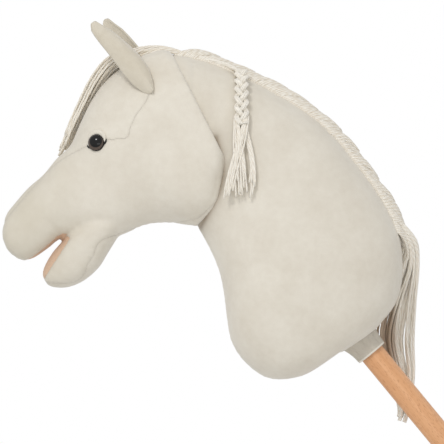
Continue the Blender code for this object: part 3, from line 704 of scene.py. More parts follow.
cut_across(neck_work, 0.0, lambda place: not in_crest_strip(place.xz))
cut_across(neck_work, TAPE_HALF, lambda place: in_crest_strip(place.xz))
cut_across(neck_work, -TAPE_HALF, lambda place: in_crest_strip(place.xz))
neck_panels = {}
for face in neck_work.faces:
    middle = face.calc_center_median()
    if abs(middle.y) < TAPE_HALF and in_crest_strip(middle.xz):
        neck_panels[face] = "tape"
    else:
        neck_panels[face] = "left" if middle.y < 0 else "right"
neck_work.normal_update()
sewn_down(neck_work, neck_panels)
neck_work.faces.index_update()
seam_and_painted_shade_mark = neck_work.verts.layers.float["seam"]
# Painted shade: the neck's cover is marked darker beside the cheek's back edge, in the crease under the
# jowl.
for vert in neck_work.verts:
    away = from_cheek(vert.co.xz)
    shade = sum(amount * bell(away, reach) for amount, reach in CHEEK_CREASE_PAINTED_SHADE)
    vert[seam_and_painted_shade_mark] = max(vert[seam_and_painted_shade_mark], shade)
sewn_skin = BVHTree.FromBMesh(neck_work)
neck = (neck_work, neck_panels)
for side in ("left", "right"):
    add_cover("neck_cover_" + side, neck, side, plush, "plush", "neck_panel_" + side)

# Mane's tape: a narrow woven cotton tape that closes the crest between the two panels. It is
# sewn in as they are, and the yarn of the mane is sewn on it.
TAPE_LIGHT = (0.84, 0.79, 0.70)
TAPE_DARK = (0.66, 0.60, 0.50)

tape_weave, shader, dye = dye_bath("woven_tape", 0.9)
place = turned_place(dye)
ribs = place.add(
    "ShaderNodeTexWave", {"Vector": place, "Scale": 330.0, "Distortion": 1.5},
    wave_type="BANDS", bands_direction="DIAGONAL",
)
soak(shader, ribs.mixed(TAPE_DARK, TAPE_LIGHT), height=ribs, depth=0.3 * MM)
add_cover("crest_tape", neck, "tape", tape_weave, "mane_tape", "mane_tape")

# Cuff: the neck's plush, drawn in round the stick in small gathers and hemmed. Its hem
# shows the cloth's paler back. Above the hem the plush is painted darker, in soft
# patches: painted shade.
HEM_LOW = 87.0 * MM
CUFF_LENGTH = 24.0 * MM
CUFF_ROWS = ((0.0, 0.0), (0.1, 0.3), (0.35, 0.6), (0.6, 1.6), (0.8, 3.0), (1.0, 5.0))
CUFF_WALL = 1.5 * MM
CUFF_CLOTH = 1.1 * MM
CUFF_SIDES = 192
CUFF_GATHERS = 9
CUFF_CREASES = 14
CUFF_PAINTED_SHADE_DARK = (0.50, 0.45, 0.37)
CUFF_PAINTED_SHADE_LIGHT = (0.64, 0.59, 0.51)

shaded_cuff_plush, shader, dye = dye_bath("shaded_cuff_plush", 0.92, Sheen_Weight=0.25, Specular_IOR_Level=0.15)
place = turned_place(dye, (0.0, STICK_TILT, 0.0))
hem = place.part(2).spread(HEM_LOW + 1.4 * MM, HEM_LOW + 2.0 * MM, 1.0, 0.0)
nap = speckle(place, PLUSH_NAP, 2.0)
painted_fold_shade = speckle(place, 120.0, 2.0)
# The cuff's plush is a darker copy of the neck's, mottled by noise: painted shade.
cloth = (nap * 0.3 + painted_fold_shade * 0.7).mixed(CUFF_PAINTED_SHADE_DARK, CUFF_PAINTED_SHADE_LIGHT)
soak(shader, hem.mixed(cloth, PLUSH_LIGHT), height=nap, depth=0.35 * MM, strength=0.6)


def gathered(row, spot):
    """A unit circle's point on the cuff, drawn in and out round the stick."""
    rise, flare = row
    turn = math.atan2(spot.y, spot.x)
    gather = math.sin(turn * CUFF_GATHERS + 0.8 * math.sin(turn * 2))
    gather += 0.6 * math.sin(turn * CUFF_CREASES + 0.7 + rise * 1.5)
    radius = POCKET_BORE + CUFF_WALL + (flare + 0.5 + gather * (0.35 + 0.65 * rise)) * MM
    return Vector((spot.x * radius, spot.y * radius, HEM_LOW + CUFF_LENGTH * rise))


work = lofted(smooth_rows(CUFF_ROWS, 15), CUFF_SIDES, gathered, closed=False)
bmesh.ops.transform(work, matrix=STICK_FRAME, verts=work.verts)
cuff = add_piece("gathered_cuff", work, shaded_cuff_plush, "head", "plush", "neck_cuff")
thicken(cuff, CUFF_CLOTH)

# Head cover: two cheeks, a forehead gusset from the nose to the poll and a chin gusset
# round the lower jaw, all plush, closed over the filling.

# The head's sections hold their roundness too. The seams are lines in mm, seen from the side.
HEAD_SECTIONS = (
    (-441, 194, -440, 184, 13, 0.06, 2.2),
    (-437, 211, -434, 171.5, 22, 0.06, 2.2),
    (-427.5, 224, -421.5, 163.5, 28, 0.06, 2.2),
    (-413.5, 240, -408, 165.5, 31, 0.06, 2.2),
    (-398, 253.5, -391.5, 176.5, 33, 0.06, 2.2),
    (-384, 270.5, -377, 187, 35, 0.06, 2.2),
    (-370, 284, -350, 188.5, 39, 0.06, 2.2),
    (-361, 304, -319, 187.5, 44, 0.06, 2.2),
    (-350, 327, -290, 199, 49, 0.06, 2.2),
    (-335.5, 348.5, -264, 201, 54, 0.10, 2.2),
    (-315, 366, -238, 199, 57, 0.20, 2.6),
    (-295, 378, -215, 214, 57.5, 0.27, 3.1),
    (-276, 382.5, -206, 241, 56, 0.26, 3.2),
    (-264, 380, -203, 259, 54, 0.24, 3.2),
)
JAW_SECTIONS = (
    (-397, 145, -393, 138, 10),
    (-397.5, 151.5, -386, 134, 18),
    (-394, 160.5, -371, 134, 24),
    (-388, 170.5, -354, 141, 28),
    (-381.5, 178.5, -338, 155, 31),
    (-373.5, 187, -328, 171, 34),
    (-363, 200, -316, 190, 36),
    (-352, 216, -302, 210, 32),
)
JAW_ROUNDNESS = (0.0, 2.2)
HEAD_ROWS = 60
JAW_ROWS = 32
HEAD_GRAIN = 2.2 * MM
FOREHEAD_SEAM = (
    (-440, 199), (-430, 213), (-418, 227), (-401, 246), (-387, 261), (-373, 271), (-359, 278),
    (-350, 282), (-331, 288), (-310, 290), (-306, 299), (-300, 313), (-290, 327), (-287, 337),
    (-292, 357), (-297, 378), (-299, 400),
)
FOREHEAD_CORNERS = ((-460, 400), (-460, 199))
CHIN_SEAM = (
    (-398, 142), (-390, 140), (-367, 140), (-354, 148), (-350, 159), (-344, 168), (-341, 177),
    (-335, 184), (-317, 191), (-302, 196.5), (-270, 201.5), (-250, 203.5), (-234, 208), (-220, 221),
    (-200, 233),
)
CHIN_CORNERS = ((-200, 110), (-420, 110), (-420, 142))
PALATE_OUTLINE = (
    (-414, 158), (-414, 163.5), (-408, 166.5), (-401, 171.5), (-390, 180.5), (-383, 187),
    (-376, 191), (-372, 190.5), (-374, 187), (-385, 180), (-396, 168), (-404, 158),
)
TONGUE_OUTLINE = (
    (-404, 143), (-397, 143), (-393, 149), (-388, 157), (-382, 166), (-375, 177), (-369, 186.5),
    (-372, 189), (-374, 187), (-385, 180), (-396, 168), (-406, 156),
)
MOUTH_CORNER = ((-394, 205), (-388, 200), (-380, 193))
MOUTH_END = -370.0 * MM
MOUTH_CREASE = 1.1 * MM
MOUTH_CREASE_WIDTH = 3.2 * MM
HEAD_EASING = 3
EYE_X = -340.5 * MM
EYE_Z = 285.0 * MM

forehead_line = seam_line(FOREHEAD_SEAM, 46)
chin_line = seam_line(CHIN_SEAM, 40)
palate_line, tongue_line, forehead_corners, chin_corners = (
    [Vector(point) * MM for point in outline]
    for outline in (PALATE_OUTLINE, TONGUE_OUTLINE, FOREHEAD_CORNERS, CHIN_CORNERS)
)
in_forehead = inside_of(forehead_line + forehead_corners)
in_chin = inside_of(chin_line + chin_corners)
in_palate = inside_of(palate_line)
in_tongue = inside_of(tongue_line)
palate_line.append(palate_line[0])
tongue_line.append(tongue_line[0])
from_palate = distance_from(palate_line)
from_tongue = distance_from(tongue_line)
from_forehead = distance_from(forehead_line)
from_chin = distance_from(chin_line)
from_corner = distance_from(seam_line(MOUTH_CORNER, 12))
eye_place = Vector((EYE_X, EYE_Z))
cheek_top = Vector(HEAD_SECTIONS[-1][0:2]) * MM
cheek_low = Vector(HEAD_SECTIONS[-1][2:4]) * MM
cheek_back = Vector((cheek_top.y - cheek_low.y, cheek_low.x - cheek_top.x)).normalized()


def cut_along(work, line):
    """Cut a cover's faces along a side-view line, straight across the horse."""
    measure = distance_from(line)
    cells = {}

    def sort_in(faces):
        """Keep each face near the line in a cell of the side view."""
        for face in faces:
            side = face.calc_center_median().xz
            if measure(side) < COVER_GRAIN:
                cells.setdefault((side.x // COVER_GRAIN, side.y // COVER_GRAIN), []).append(face)

    sort_in(work.faces)
    for start, end in zip(line, line[1:]):
        along = end - start
        middle = (start + end) / 2
        reach = along.length / 2 + COVER_GRAIN
        span = math.ceil(reach / COVER_GRAIN)
        home = (middle.x // COVER_GRAIN, middle.y // COVER_GRAIN)
        faces = {}
        for column in range(-span, span + 1):
            for row in range(-span, span + 1):
                for face in cells.get((home[0] + column, home[1] + row), ()):
                    if face.is_valid and (face.calc_center_median().xz - middle).length < reach:
                        faces[face] = None
        parts = {edge: None for face in faces for edge in face.edges}
        points = {vert: None for face in faces for vert in face.verts}
        made = bmesh.ops.bisect_plane(
            work, geom=[*faces, *parts, *points], dist=0.01 * MM,
            plane_co=(start.x, 0.0, start.y), plane_no=(along.y, 0.0, -along.x),
        )
        sort_in(part for part in made["geom"] if isinstance(part, bmesh.types.BMFace))


def enclosed(place, skin):
    """Whether a place lies inside a closed skin."""
    for way in (Vector((0.31, 0.42, 0.85)), Vector((-0.23, -0.55, 0.80))):
        point, out, index, distance = skin.ray_cast(place, way)
        if point is None or out.dot(way) < 0:
            return False
    return True


def laid_on(skin, place, lift):
    """The place on a skin that is nearest, lifted off it."""
    point, out, index, distance = skin.find_nearest(place)
    return point + out * lift


def trimmed(work, skin):
    """Take off what lies under another skin, and seat the new edge on it."""
    under = [face for face in work.faces if enclosed(face.calc_center_median(), skin)]
    sides = {vert for vert in work.verts if vert.is_boundary}
    bmesh.ops.delete(work, geom=under, context="FACES")
    rim = [vert for vert in work.verts if vert.is_boundary and vert not in sides]
    eased_rim(rim, 4, lambda place: laid_on(skin, place, 0.2 * MM))


def fading(distance, near, far):
    """One up to a near distance, falling to nothing at a far one."""
    return min(1.0, max(0.0, (far * MM - distance) / ((far - near) * MM)))


def eased(work, turns):
    """Smooth a bmesh a number of times."""
    for turn in range(turns):
        bmesh.ops.smooth_vert(
            work, verts=work.verts, factor=0.5,
            use_axis_x=True, use_axis_y=True, use_axis_z=True,
        )
    work.normal_update()


def head_hold(place):
    """How fast the head's cover is held at a place, and how far it is pulled in."""
    side = place.xz
    lining = in_palate(side) or in_tongue(side)
    mouth = 1.0 if lining else fading(min(from_palate(side), from_tongue(side)), 3, 14)
    eye = fading((side - eye_place).length, 13, 22)
    seam = min(from_forehead(side), from_chin(side)) < SEAM_REACH
    point, out, index, distance = neck_skin.find_nearest(place)
    under = fading((place - point).dot(out), 2, 6)
    behind = fading((cheek_low - side).dot(cheek_back), 8, 14)
    still = max(mouth, eye, under, behind)
    return 1.0 if seam else still, 0.7 * (1 - still)


head_form = stuffed_form(HEAD_SECTIONS, HEAD_ROWS)
head_form_skin = BVHTree.FromBMesh(head_form)
jaw_form = stuffed_form(JAW_SECTIONS, JAW_ROWS, JAW_ROUNDNESS)
head_form.from_mesh(mesh_of("jaw_pattern", jaw_form))
head_work = filled(mesh_of("head_pattern", head_form), head_hold, HEAD_GRAIN)
eased(head_work, HEAD_EASING)
for vert in head_work.verts:
    if vert.co.x < MOUTH_END:
        dent = bell(from_corner(vert.co.xz), MOUTH_CREASE_WIDTH)
        vert.co = vert.co - vert.normal * dent * MOUTH_CREASE
head_skin = BVHTree.FromBMesh(head_work)
trimmed(head_work, neck_skin)
for line in (forehead_line, chin_line, palate_line, tongue_line):
    cut_along(head_work, line)
cut_across(head_work, 0.0, lambda place: place.x < -350 * MM)
head_panels = {}
for face in head_work.faces:
    middle = face.calc_center_median()
    side = middle.xz
    if in_palate(side):
        head_panels[face] = "palate"
    elif in_tongue(side):
        head_panels[face] = "tongue"
    elif in_forehead(side):
        head_panels[face] = "forehead"
    elif in_chin(side):
        head_panels[face] = "chin"
    else:
        head_panels[face] = "left" if middle.y < 0 else "right"
head_work.normal_update()
sewn_down(head_work, head_panels)
head_work.faces.index_update()
head = (head_work, head_panels)
for name, panel, node in (
    ("cheek_left", "left", "face_panel_left"),
    ("cheek_right", "right", "face_panel_right"),
    ("forehead", "forehead", "forehead_gusset"),
    ("chin", "chin", "chin_gusset"),
):
    add_cover(name, head, panel, plush, "plush", node)

# Mouth: tan cotton felt lines the palate and the lower jaw between the lips. Each piece is
# sewn in along the lips, as a part of the head's cover.
MOUTH_TAN = (0.76, 0.545, 0.39)
MOUTH_DARK = (0.60, 0.41, 0.28)


def grained_finish(name, rough, grain, detail, dark, light, depth, **fixed):
    """A plain finish: two tones and a relief in one fine grain."""
    finish, shader, dye = dye_bath(name, rough, **fixed)
    fluff = speckle(turned_place(dye), grain, detail)
    soak(shader, fluff.mixed(dark, light), height=fluff, depth=depth)
    return finish


mouth_felt = grained_finish(
    "mouth_felt", 0.95, 700.0, 4.0, MOUTH_DARK, MOUTH_TAN, 0.25 * MM, Sheen_Weight=0.2,
)
add_cover("palate_lining", head, "palate", mouth_felt, "mouth_lining", "mouth_lining_upper")
add_cover("jaw_lining", head, "tongue", mouth_felt, "mouth_lining", "mouth_lining_lower")

# Filling: eight wads of white fibre, teased out and pushed round the pocket, into the
# cheeks, the muzzle and the lower jaw. They are soft lumps without hard edges.
FIBRE_LIGHT = (0.86, 0.86, 0.84)
FIBRE_DARK = (0.66, 0.66, 0.64)
FIBRE_GRAIN = 4.0 * MM
FIBRE_TEASE = 7
FIBRE_SLACK = 2.0 * MM
FIBRE_COVER = 3.4 * MM
WADS = (
    "neck_stuffing_left", "neck_stuffing_right", "neck_stuffing_crest", "neck_stuffing_throat",
    "neck_stuffing_poll", "cheek_stuffing", "muzzle_stuffing", "jaw_stuffing",
)

fibre = grained_finish("white_fibre", 1.0, 420.0, 4.0, FIBRE_DARK, FIBRE_LIGHT, 1.0 * MM)
for node in WADS:
    work = opened(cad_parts[node].data)
    bmesh.ops.remove_doubles(work, verts=work.verts, dist=0.01 * MM)
    work = opened(through(mesh_of(node, work), "REMESH", mode="VOXEL", voxel_size=FIBRE_GRAIN))
    eased(work, FIBRE_TEASE)
    for vert in work.verts:
        vert.co = vert.co - vert.normal * FIBRE_SLACK
        for turn in range(2):
            found = [skin.find_nearest(vert.co) for skin in (neck_skin, head_skin)]
            depths = [
                distance if enclosed(vert.co, skin) else -distance
                for skin, (point, out, index, distance) in zip((neck_skin, head_skin), found)
            ]
            if max(depths) < FIBRE_COVER:
                point, out, index, distance = found[depths.index(max(depths))]
                vert.co = point - out * FIBRE_COVER
    wad = add_piece("fibre_" + node, work, fibre, "head", "fibre_fill", node)

# Eyes: a black moulded dome with a grey-brown ring, on a stem through the cloth. A lock
# washer holds it inside, and a black felt almond lies behind it, under a fold of plush.
EYE_RADIUS = 8.8 * MM
EYE_HEIGHT = 5.5 * MM
EYE_SEAT = 1.0 * MM
EYE_PROFILE = (
    (0.0, -11.0), (2.5, -11.0), (2.5, -2.0), (8.2, -2.0), (8.8, -1.2), (8.8, 0.0),
)
ALMOND_LENGTH = 23.5 * MM
ALMOND_HEIGHT = 12.5 * MM
ALMOND_TILT = math.radians(13.0)
FELT_LIFT = 0.9 * MM
FELT_THICKNESS = 0.8 * MM
LID_WIDTH = 6.0
LID_HEIGHT = 2.5
LID_START = -8.0
LID_SWEEP = 196.0
EYE_BLACK = (0.004, 0.0035, 0.0035)
EYE_RING_DARK = (0.075, 0.055, 0.043)
EYE_RING = (0.115, 0.085, 0.068)
PUPIL_RADIUS = 6.6 * MM
PUPIL_SHIFT = (0.4 * MM, 1.3 * MM)
PUPIL_BLUR = 0.3 * MM
RING_EDGE = (7.7 * MM, 8.2 * MM)
FELT_BLACK = (0.012, 0.011, 0.011)
FELT_WORN = (0.03, 0.028, 0.026)
NYLON_DARK = (0.70, 0.70, 0.68)
NYLON_LIGHT = (0.78, 0.78, 0.76)


def faced(work, way):
    """Turn the faces of an open sheet so that most of them look one way."""
    bmesh.ops.recalc_face_normals(work, faces=work.faces)
    if sum(face.normal.dot(way) for face in work.faces) < 0:
        bmesh.ops.reverse_faces(work, faces=work.faces)


def eye_frame(side):
    """Frame on the head's cover at an eye, with +Z out of the cover and +X up along it."""
    start = Vector((EYE_X, side * 0.3, EYE_Z))
    point, normal, index, distance = head_form_skin.ray_cast(start, Vector((0, -side, 0)))
    normal = (normal + Vector((0, side, 0))).normalized()
    along = (Vector((0, 0, 1)) - normal * normal.z).normalized()
    other = normal.cross(along)
    return Matrix.Translation(point) @ Matrix((along, other, normal)).transposed().to_4x4()


eye_felt = grained_finish(
    "black_felt", 0.95, 1500.0, 3.0, FELT_BLACK, FELT_WORN, 0.2 * MM,
)
washer_nylon = grained_finish(
    "washer_nylon", 0.4, 500.0, 2.0, NYLON_DARK, NYLON_LIGHT, 0.05 * MM,
)

for side, name in ((-1, "left"), (1, "right")):
    socket_frame = eye_frame(side)
    centre = socket_frame.translation
    eye_gloss, shader, dye = dye_bath("eye_gloss_" + name, 0.06, Specular_IOR_Level=0.27)
    here = dye.add("ShaderNodeTexCoord", out=3)
    outward = tuple(socket_frame.col[2].xyz)
    shift = socket_frame.to_3x3() @ Vector((PUPIL_SHIFT[1], side * PUPIL_SHIFT[0], 0))
    flat_reach = []
    for middle in (centre, centre + shift):
        apart = here.add("ShaderNodeVectorMath", {0: here, 1: tuple(middle)}, operation="SUBTRACT")
        lift = apart.add("ShaderNodeVectorMath", {0: apart, 1: outward}, 1, operation="DOT_PRODUCT")
        reach = apart.add("ShaderNodeVectorMath", {0: apart}, 1, operation="LENGTH")
        flat_reach.append((reach * reach - lift * lift).worked("SQRT"))
    # The pupil sits above the dome's middle, so the ring shows mostly below it: painted shade over the
    # ring's top.
    ring = flat_reach[1].spread(PUPIL_RADIUS - PUPIL_BLUR, PUPIL_RADIUS + PUPIL_BLUR)
    rim = flat_reach[0].spread(*RING_EDGE)
    spokes = speckle(turned_place(dye, place=tuple(-centre)), 900.0, 3.0)
    iris = spokes.mixed(EYE_RING_DARK, EYE_RING)
    soak(shader, (ring * (1 - rim)).mixed(EYE_BLACK, iris))

    work = bmesh.new()
    outline = [Vector((radius, 0, height)) * MM for radius, height in EYE_PROFILE]
    for step in range(1, 13):
        turn = math.radians(90 * step / 12)
        outline.append(Vector((EYE_RADIUS * math.cos(turn), 0, EYE_HEIGHT * math.sin(turn))))
    outline[-1].x = 0.0
    points = [work.verts.new(point) for point in outline]
    line = [work.edges.new(pair) for pair in zip(points, points[1:])]
    bmesh.ops.spin(
        work, geom=[*points, *line], cent=(0, 0, 0), axis=(0, 0, 1), angle=math.tau, steps=48,
        use_merge=True,
    )
    bmesh.ops.remove_doubles(work, verts=work.verts, dist=0.001 * MM)
    bmesh.ops.recalc_face_normals(work, faces=work.faces)
    seat = socket_frame @ Matrix.Translation((0, 0, EYE_SEAT))
    bmesh.ops.transform(work, matrix=seat, verts=work.verts)
    add_piece("glass_eye_" + name, work, eye_gloss, "head", "eye", "eye_" + name, sharp=50.0)

    work = bmesh.new()
    ring = bmesh.ops.create_circle(work, segments=64, radius=1.0, cap_ends=True)["verts"]
    for vert in ring:
        lift = math.copysign(abs(vert.co.x) ** 1.1, vert.co.x)
        vert.co = (lift * ALMOND_HEIGHT / 2, vert.co.y * ALMOND_LENGTH / 2, 0)
    for turn in range(3):
        inner = max(work.faces, key=lambda face: face.calc_area())
        bmesh.ops.inset_region(work, faces=[inner], thickness=1.3 * MM)
    turned = socket_frame @ Matrix.Rotation(-side * ALMOND_TILT, 4, "Z")
    bmesh.ops.transform(work, matrix=turned, verts=work.verts)
    for vert in work.verts:
        vert.co = laid_on(head_skin, vert.co, FELT_LIFT)
    faced(work, socket_frame.col[2].xyz)
    patch = add_piece("eye_felt_" + name, work, eye_felt, "head", "felt", "eye_patch_" + name)
    thicken(patch, FELT_THICKNESS)

    def over_the_eye(share, spot):
        """A unit circle's point on the lid's fold, laid on the cover round the eye."""
        turn = math.radians(LID_START + LID_SWEEP * share)
        full = 0.12 + 0.88 * max(0.0, math.sin(math.pi * share)) ** 0.7
        width = LID_WIDTH * full / 2 * MM
        height = LID_HEIGHT * (0.45 + 0.55 * full) * MM
        reach = EYE_RADIUS + width * 0.9 + spot.x * width
        place = turned @ Vector((math.sin(turn) * reach, math.cos(turn) * reach, 0))
        return laid_on(head_skin, place, (spot.y * 0.5 + 0.35) * height)

    work = lofted([step / 24 for step in range(25)], 12, over_the_eye)
    lid = add_piece("eyelid_fold_" + name, work, plush, "head", "plush", "eyelid_" + name)

    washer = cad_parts["eye_washer_" + name]
    washer.data.materials.clear()
    washer.data.materials.append(washer_nylon)

# Ears: two cupped leaves of plush sewn edge to edge and turned, pleated at the root and
# set into the head. The near ear shows its back.
EAR_ROOT = (-284.0, 44.0, 336.0)
EAR_LENGTH = 95.0 * MM
EAR_LEANS = {"left": (-0.655, 0.06, 0.770), "right": (-0.535, 0.06, 0.840)}
EAR_OPENING = (-0.42, -0.88, -0.15)
EAR_WIDTHS = (
    (0.0, 2.0), (0.05, 6.0), (0.14, 10.5), (0.24, 13.0), (0.37, 13.8), (0.55, 12.4), (0.75, 10.4),
    (0.92, 7.9), (1.0, 5.8),
)
EAR_BOW = 5.5 * MM
EAR_CUP_ROOT = 0.95
EAR_CUP_TIP = 0.15
EAR_COLUMNS = 24
EAR_ROWS = 40
EAR_LIGHT = (0.720, 0.665, 0.560)
EAR_DARK = (0.620, 0.560, 0.450)

ear_plush = plush_finish("ear_plush", EAR_LIGHT, EAR_DARK)


def ear_leaf(ear_frame, depth, rear, seed):
    """One cupped layer of an ear at a depth behind its hollow."""
    work = bmesh.new()
    bmesh.ops.create_grid(work, x_segments=EAR_COLUMNS, y_segments=EAR_ROWS, size=1.0)
    widths = smooth_rows(EAR_WIDTHS, 101)
    for vert in work.verts:
        across = vert.co.x
        share = (vert.co.y + 1) / 2
        index = next((step for step in range(99) if widths[step + 1][0] >= share), 99)
        low, high = widths[index], widths[index + 1]
        half_width = (low[1] + (high[1] - low[1]) * (share - low[0]) / (high[0] - low[0])) * MM
        cup = half_width * (EAR_CUP_ROOT + (EAR_CUP_TIP - EAR_CUP_ROOT) * share)
        pleat = 0.9 * MM * math.sin(across * 9 + seed) * math.exp(-share / 0.16)
        x = (half_width - (0.6 * MM if depth == 0 else 0.0)) * across
        x += rear * EAR_BOW * math.sin(math.pi * share ** 0.75)
        y = cup * (across ** 2 - 0.6) - depth * (1 - across ** 4) + pleat * (1 - across ** 2)
        y += 0.4 * MM * math.sin(share * 9 + across * 3 + seed) * (1 - across ** 2)
        z = share * EAR_LENGTH - half_width * 0.9 * across ** 2 * max(0.0, share - 0.8) / 0.2
        vert.co = ear_frame @ Vector((x, y, z))
    return work


for side, name in ((-1, "left"), (1, "right")):
    lean = EAR_LEANS[name]
    axis = Vector((lean[0], lean[1] * side, lean[2])).normalized()
    opening_way = Vector((EAR_OPENING[0], EAR_OPENING[1] * side, EAR_OPENING[2]))
    opening_way = (opening_way - axis * opening_way.dot(axis)).normalized()
    turn = Matrix((opening_way.cross(axis), opening_way, axis)).transposed().to_4x4()
    root = Vector((EAR_ROOT[0], EAR_ROOT[1] * side, EAR_ROOT[2])) * MM
    ear_frame = Matrix.Translation(root) @ turn
    back = -ear_frame.col[1].xyz
    for label, depth, thickness, offset, node in (
        ("ear_back_", 4.2 * MM, 1.5 * MM, -1.0, "ear_"),
        ("ear_hollow_", 0.0, 1.0 * MM, 1.0, "ear_lining_"),
    ):
        work = ear_leaf(ear_frame, depth, -side, 0.6 + side)
        trimmed(work, head_skin)
        faced(work, back)
        leaf = add_piece(label + name, work, ear_plush, "head", "plush", node + name)
        thicken(leaf, thickness, offset)

# Mane: soft cream cotton yarn, sewn on the tape in small bunches. It arches over the
# crest and falls over the far side of the neck.
YARN_WIDTH = 2.9 * MM
YARN_LIGHT = (0.93, 0.89, 0.81)
YARN_DARK = (0.70, 0.61, 0.48)
YARN_PAINTED_SHADE = (0.45, 0.34, 0.245)
YARN_TWIST = 9.0 * MM
MANE_DROP = 152.0 * MM
MANE_LOW = 121.5 * MM
MANE_FRONT = -254.0 * MM
MANE_BACK = -27.0 * MM
MANE_FOOT = 196.0 * MM
BUNCH_LENGTHS = (13.0 * MM, 23.0 * MM)
YARN_SPACING = 2.3 * MM
STRAND_STEP = 6.5 * MM
STRAND_LEAN = 29.0 * MM


def yarn_finish(name, length, shade=0.0, inner=None):
    """Loose three-ply yarn: the twist shows as slanting ridges along each strand."""
    finish, shader, dye = dye_bath(name, 0.9, Sheen_Weight=0.2, Specular_IOR_Level=0.2)
    strand = dye.add("ShaderNodeUVMap", uv_map="UVMap")
    # Its shade lightens or darkens this lock's copy of the yarn as a whole: painted light and shade.
    turns = strand.part(0) * (math.tau * length / YARN_TWIST) + strand.part(1) * (math.tau * 3)
    ply = turns.worked("SINE") * 0.5 + 0.5
    place = turned_place(dye)
    fuzz = speckle(place, 2200.0, 2.0)
    tone = speckle(place, 90.0, 2.0)
    # The grooves between the plies are painted darker: painted shade.
    share = ply * 0.55 + fuzz * 0.35 + tone * 0.35 - shade
    tint = share.spread(0.1, 0.85).mixed(YARN_DARK, YARN_LIGHT)
    # Strands behind and below the neck's edge are painted darker: painted shadow.
    if inner:
        near = place.part(0).spread(inner[0], inner[0] - 8 * MM)
        low = place.part(2).spread(inner[1], inner[1] - 20 * MM)
        tint = (near * low * 0.9).mixed(tint, YARN_PAINTED_SHADE)
    soak(shader, tint, height=ply * 0.7 + fuzz * 0.3, depth=0.5 * MM, strength=0.7)
    return finish


def add_yarn(name, strands, finish, body, *nodes, width=YARN_WIDTH):
    """Run a yarn through each row of points and sew the strands to a body."""
    curve = bpy.data.curves.new(name, "CURVE")
    curve.dimensions = "3D"
    curve.bevel_depth = width / 2
    curve.bevel_resolution = 1
    curve.use_fill_caps = True
    for points in strands:
        spline = curve.splines.new("POLY")
        spline.points.add(len(points) - 1)
        for spot, point in zip(spline.points, points):
            spot.co = (*point, 1.0)
    work = opened(result_of(linked("blank", curve), layers=True))
    bmesh.ops.remove_doubles(work, verts=work.verts, dist=0.001 * MM)
    bmesh.ops.recalc_face_normals(work, faces=work.faces)
    return add_piece(name, work, finish, body, "yarn", *nodes)


def along_line(line, distance):
    """The place and direction at a length along a side-view line."""
    for start, end in zip(line, line[1:]):
        way = end - start
        if distance <= way.length:
            return start + way * (distance / way.length), way.normalized()
        distance -= way.length
    return line[-1], (line[-1] - line[-2]).normalized()


def over_the_crest(station, lean, lift, drop, drift, low, rng):
    """One strand: up from the tape, over the crest and down the far side."""
    points = []
    for step in range(8):
        share = step / 7
        top, way = along_line(crest, station + lean * share)
        out = Vector((-way.y, way.x))
        if out.y < 0:
            out = -out
        y = (-6.0 + 18.0 * share) * MM
        if step == 0:
            start = Vector((top.x, y, top.y)) + Vector((out.x, 0, out.y)) * 10 * MM
            point, normal, index, distance = sewn_skin.ray_cast(start, -Vector((out.x, 0, out.y)))
            foot = (point.xz - top).dot(out) + 0.5 * MM
            buried = top + out * (foot - 3.5 * MM)
            points.append(Vector((buried.x, y + 1.5 * MM, buried.y)))
        rise = foot + (lift * MM - foot) * math.sin(math.pi / 2 * min(1.0, share * 1.45)) ** 0.8
        side = top + out * rise
        points.append(Vector((side.x, y, side.y)))
    here = points[-1]
    gone = 0.0
    height = rng.uniform(2.2, 6.5)
    wave = rng.uniform(0, math.tau)
    while gone < drop:
        point, normal, index, distance = neck_skin.find_nearest(here)
        pull = Vector((drift + 0.12 * math.sin(wave + gone * 45), 0.45, -1.0))
        pull -= normal * pull.dot(normal)
        here = here + pull.normalized() * STRAND_STEP
        point, normal, index, distance = neck_skin.find_nearest(here)
        gone += STRAND_STEP
        near = min(1.0, gone / (30 * MM))
        here = point + normal * (lift + (height - lift) * near) * MM
        if here.z < low:
            break
        points.append(here)
    return points


mane_random = random.Random(11)
crest_length = sum((end - start).length for start, end in zip(crest, crest[1:]))
strands = []
station = 0.0
while station < crest_length:
    bunch = mane_random.uniform(*BUNCH_LENGTHS)
    middle, way = along_line(crest, station + bunch / 2)
    if MANE_FRONT - 4 * MM < middle.x < MANE_BACK - 2 * MM and middle.y > MANE_FOOT:
        height = mane_random.uniform(6.8, 9.8)
        count = round(bunch / YARN_SPACING)
        for layer in range(2):
            for yarn in range(count):
                spread = (yarn + 0.5) / count
                bulge = math.sin(math.pi * (0.1 + 0.75 * spread)) ** 0.8
                lift = height * (0.52 + 0.48 * bulge) if layer else height * (0.34 + 0.26 * bulge)
                strands.append(over_the_crest(
                    station + bunch * spread + mane_random.uniform(-0.7, 0.7) * MM,
                    STRAND_LEAN * mane_random.uniform(0.85, 1.15) * (0.75 + 0.25 * layer),
                    lift + mane_random.uniform(-0.5, 0.5),
                    MANE_DROP * mane_random.uniform(0.9, 1.0) - 16 * MM,
                    mane_random.uniform(-0.12, 0.12), MANE_LOW, mane_random,
                ))
    station += bunch
mane_yarn = yarn_finish("mane_yarn", 0.160)
add_yarn("mane_yarns", strands, mane_yarn, "head", "mane")


# Forelock: a lock of the same yarn, brought forward from the crest between the ears and
# down beside the forehead. The rows are its path: x, y, z, half its depth and its width.
FORELOCK_PATH = (
    (-246, 2, 375, 2.5, 5),
    (-258, 1, 380, 3.5, 8),
    (-274, 0, 383, 4.5, 11),
    (-292, 0, 381, 6, 13),
    (-310, 1, 375, 7.5, 14),
    (-326, 3, 368, 9.5, 15),
    (-341.5, 6, 350, 9.5, 15),
    (-355, 9, 326, 9, 14),
    (-367.5, 14, 302, 7.5, 12),
    (-376, 18, 283, 6.5, 9),
    (-383, 20, 271, 4, 6),
)
GOLDEN_TURN = 2.39996


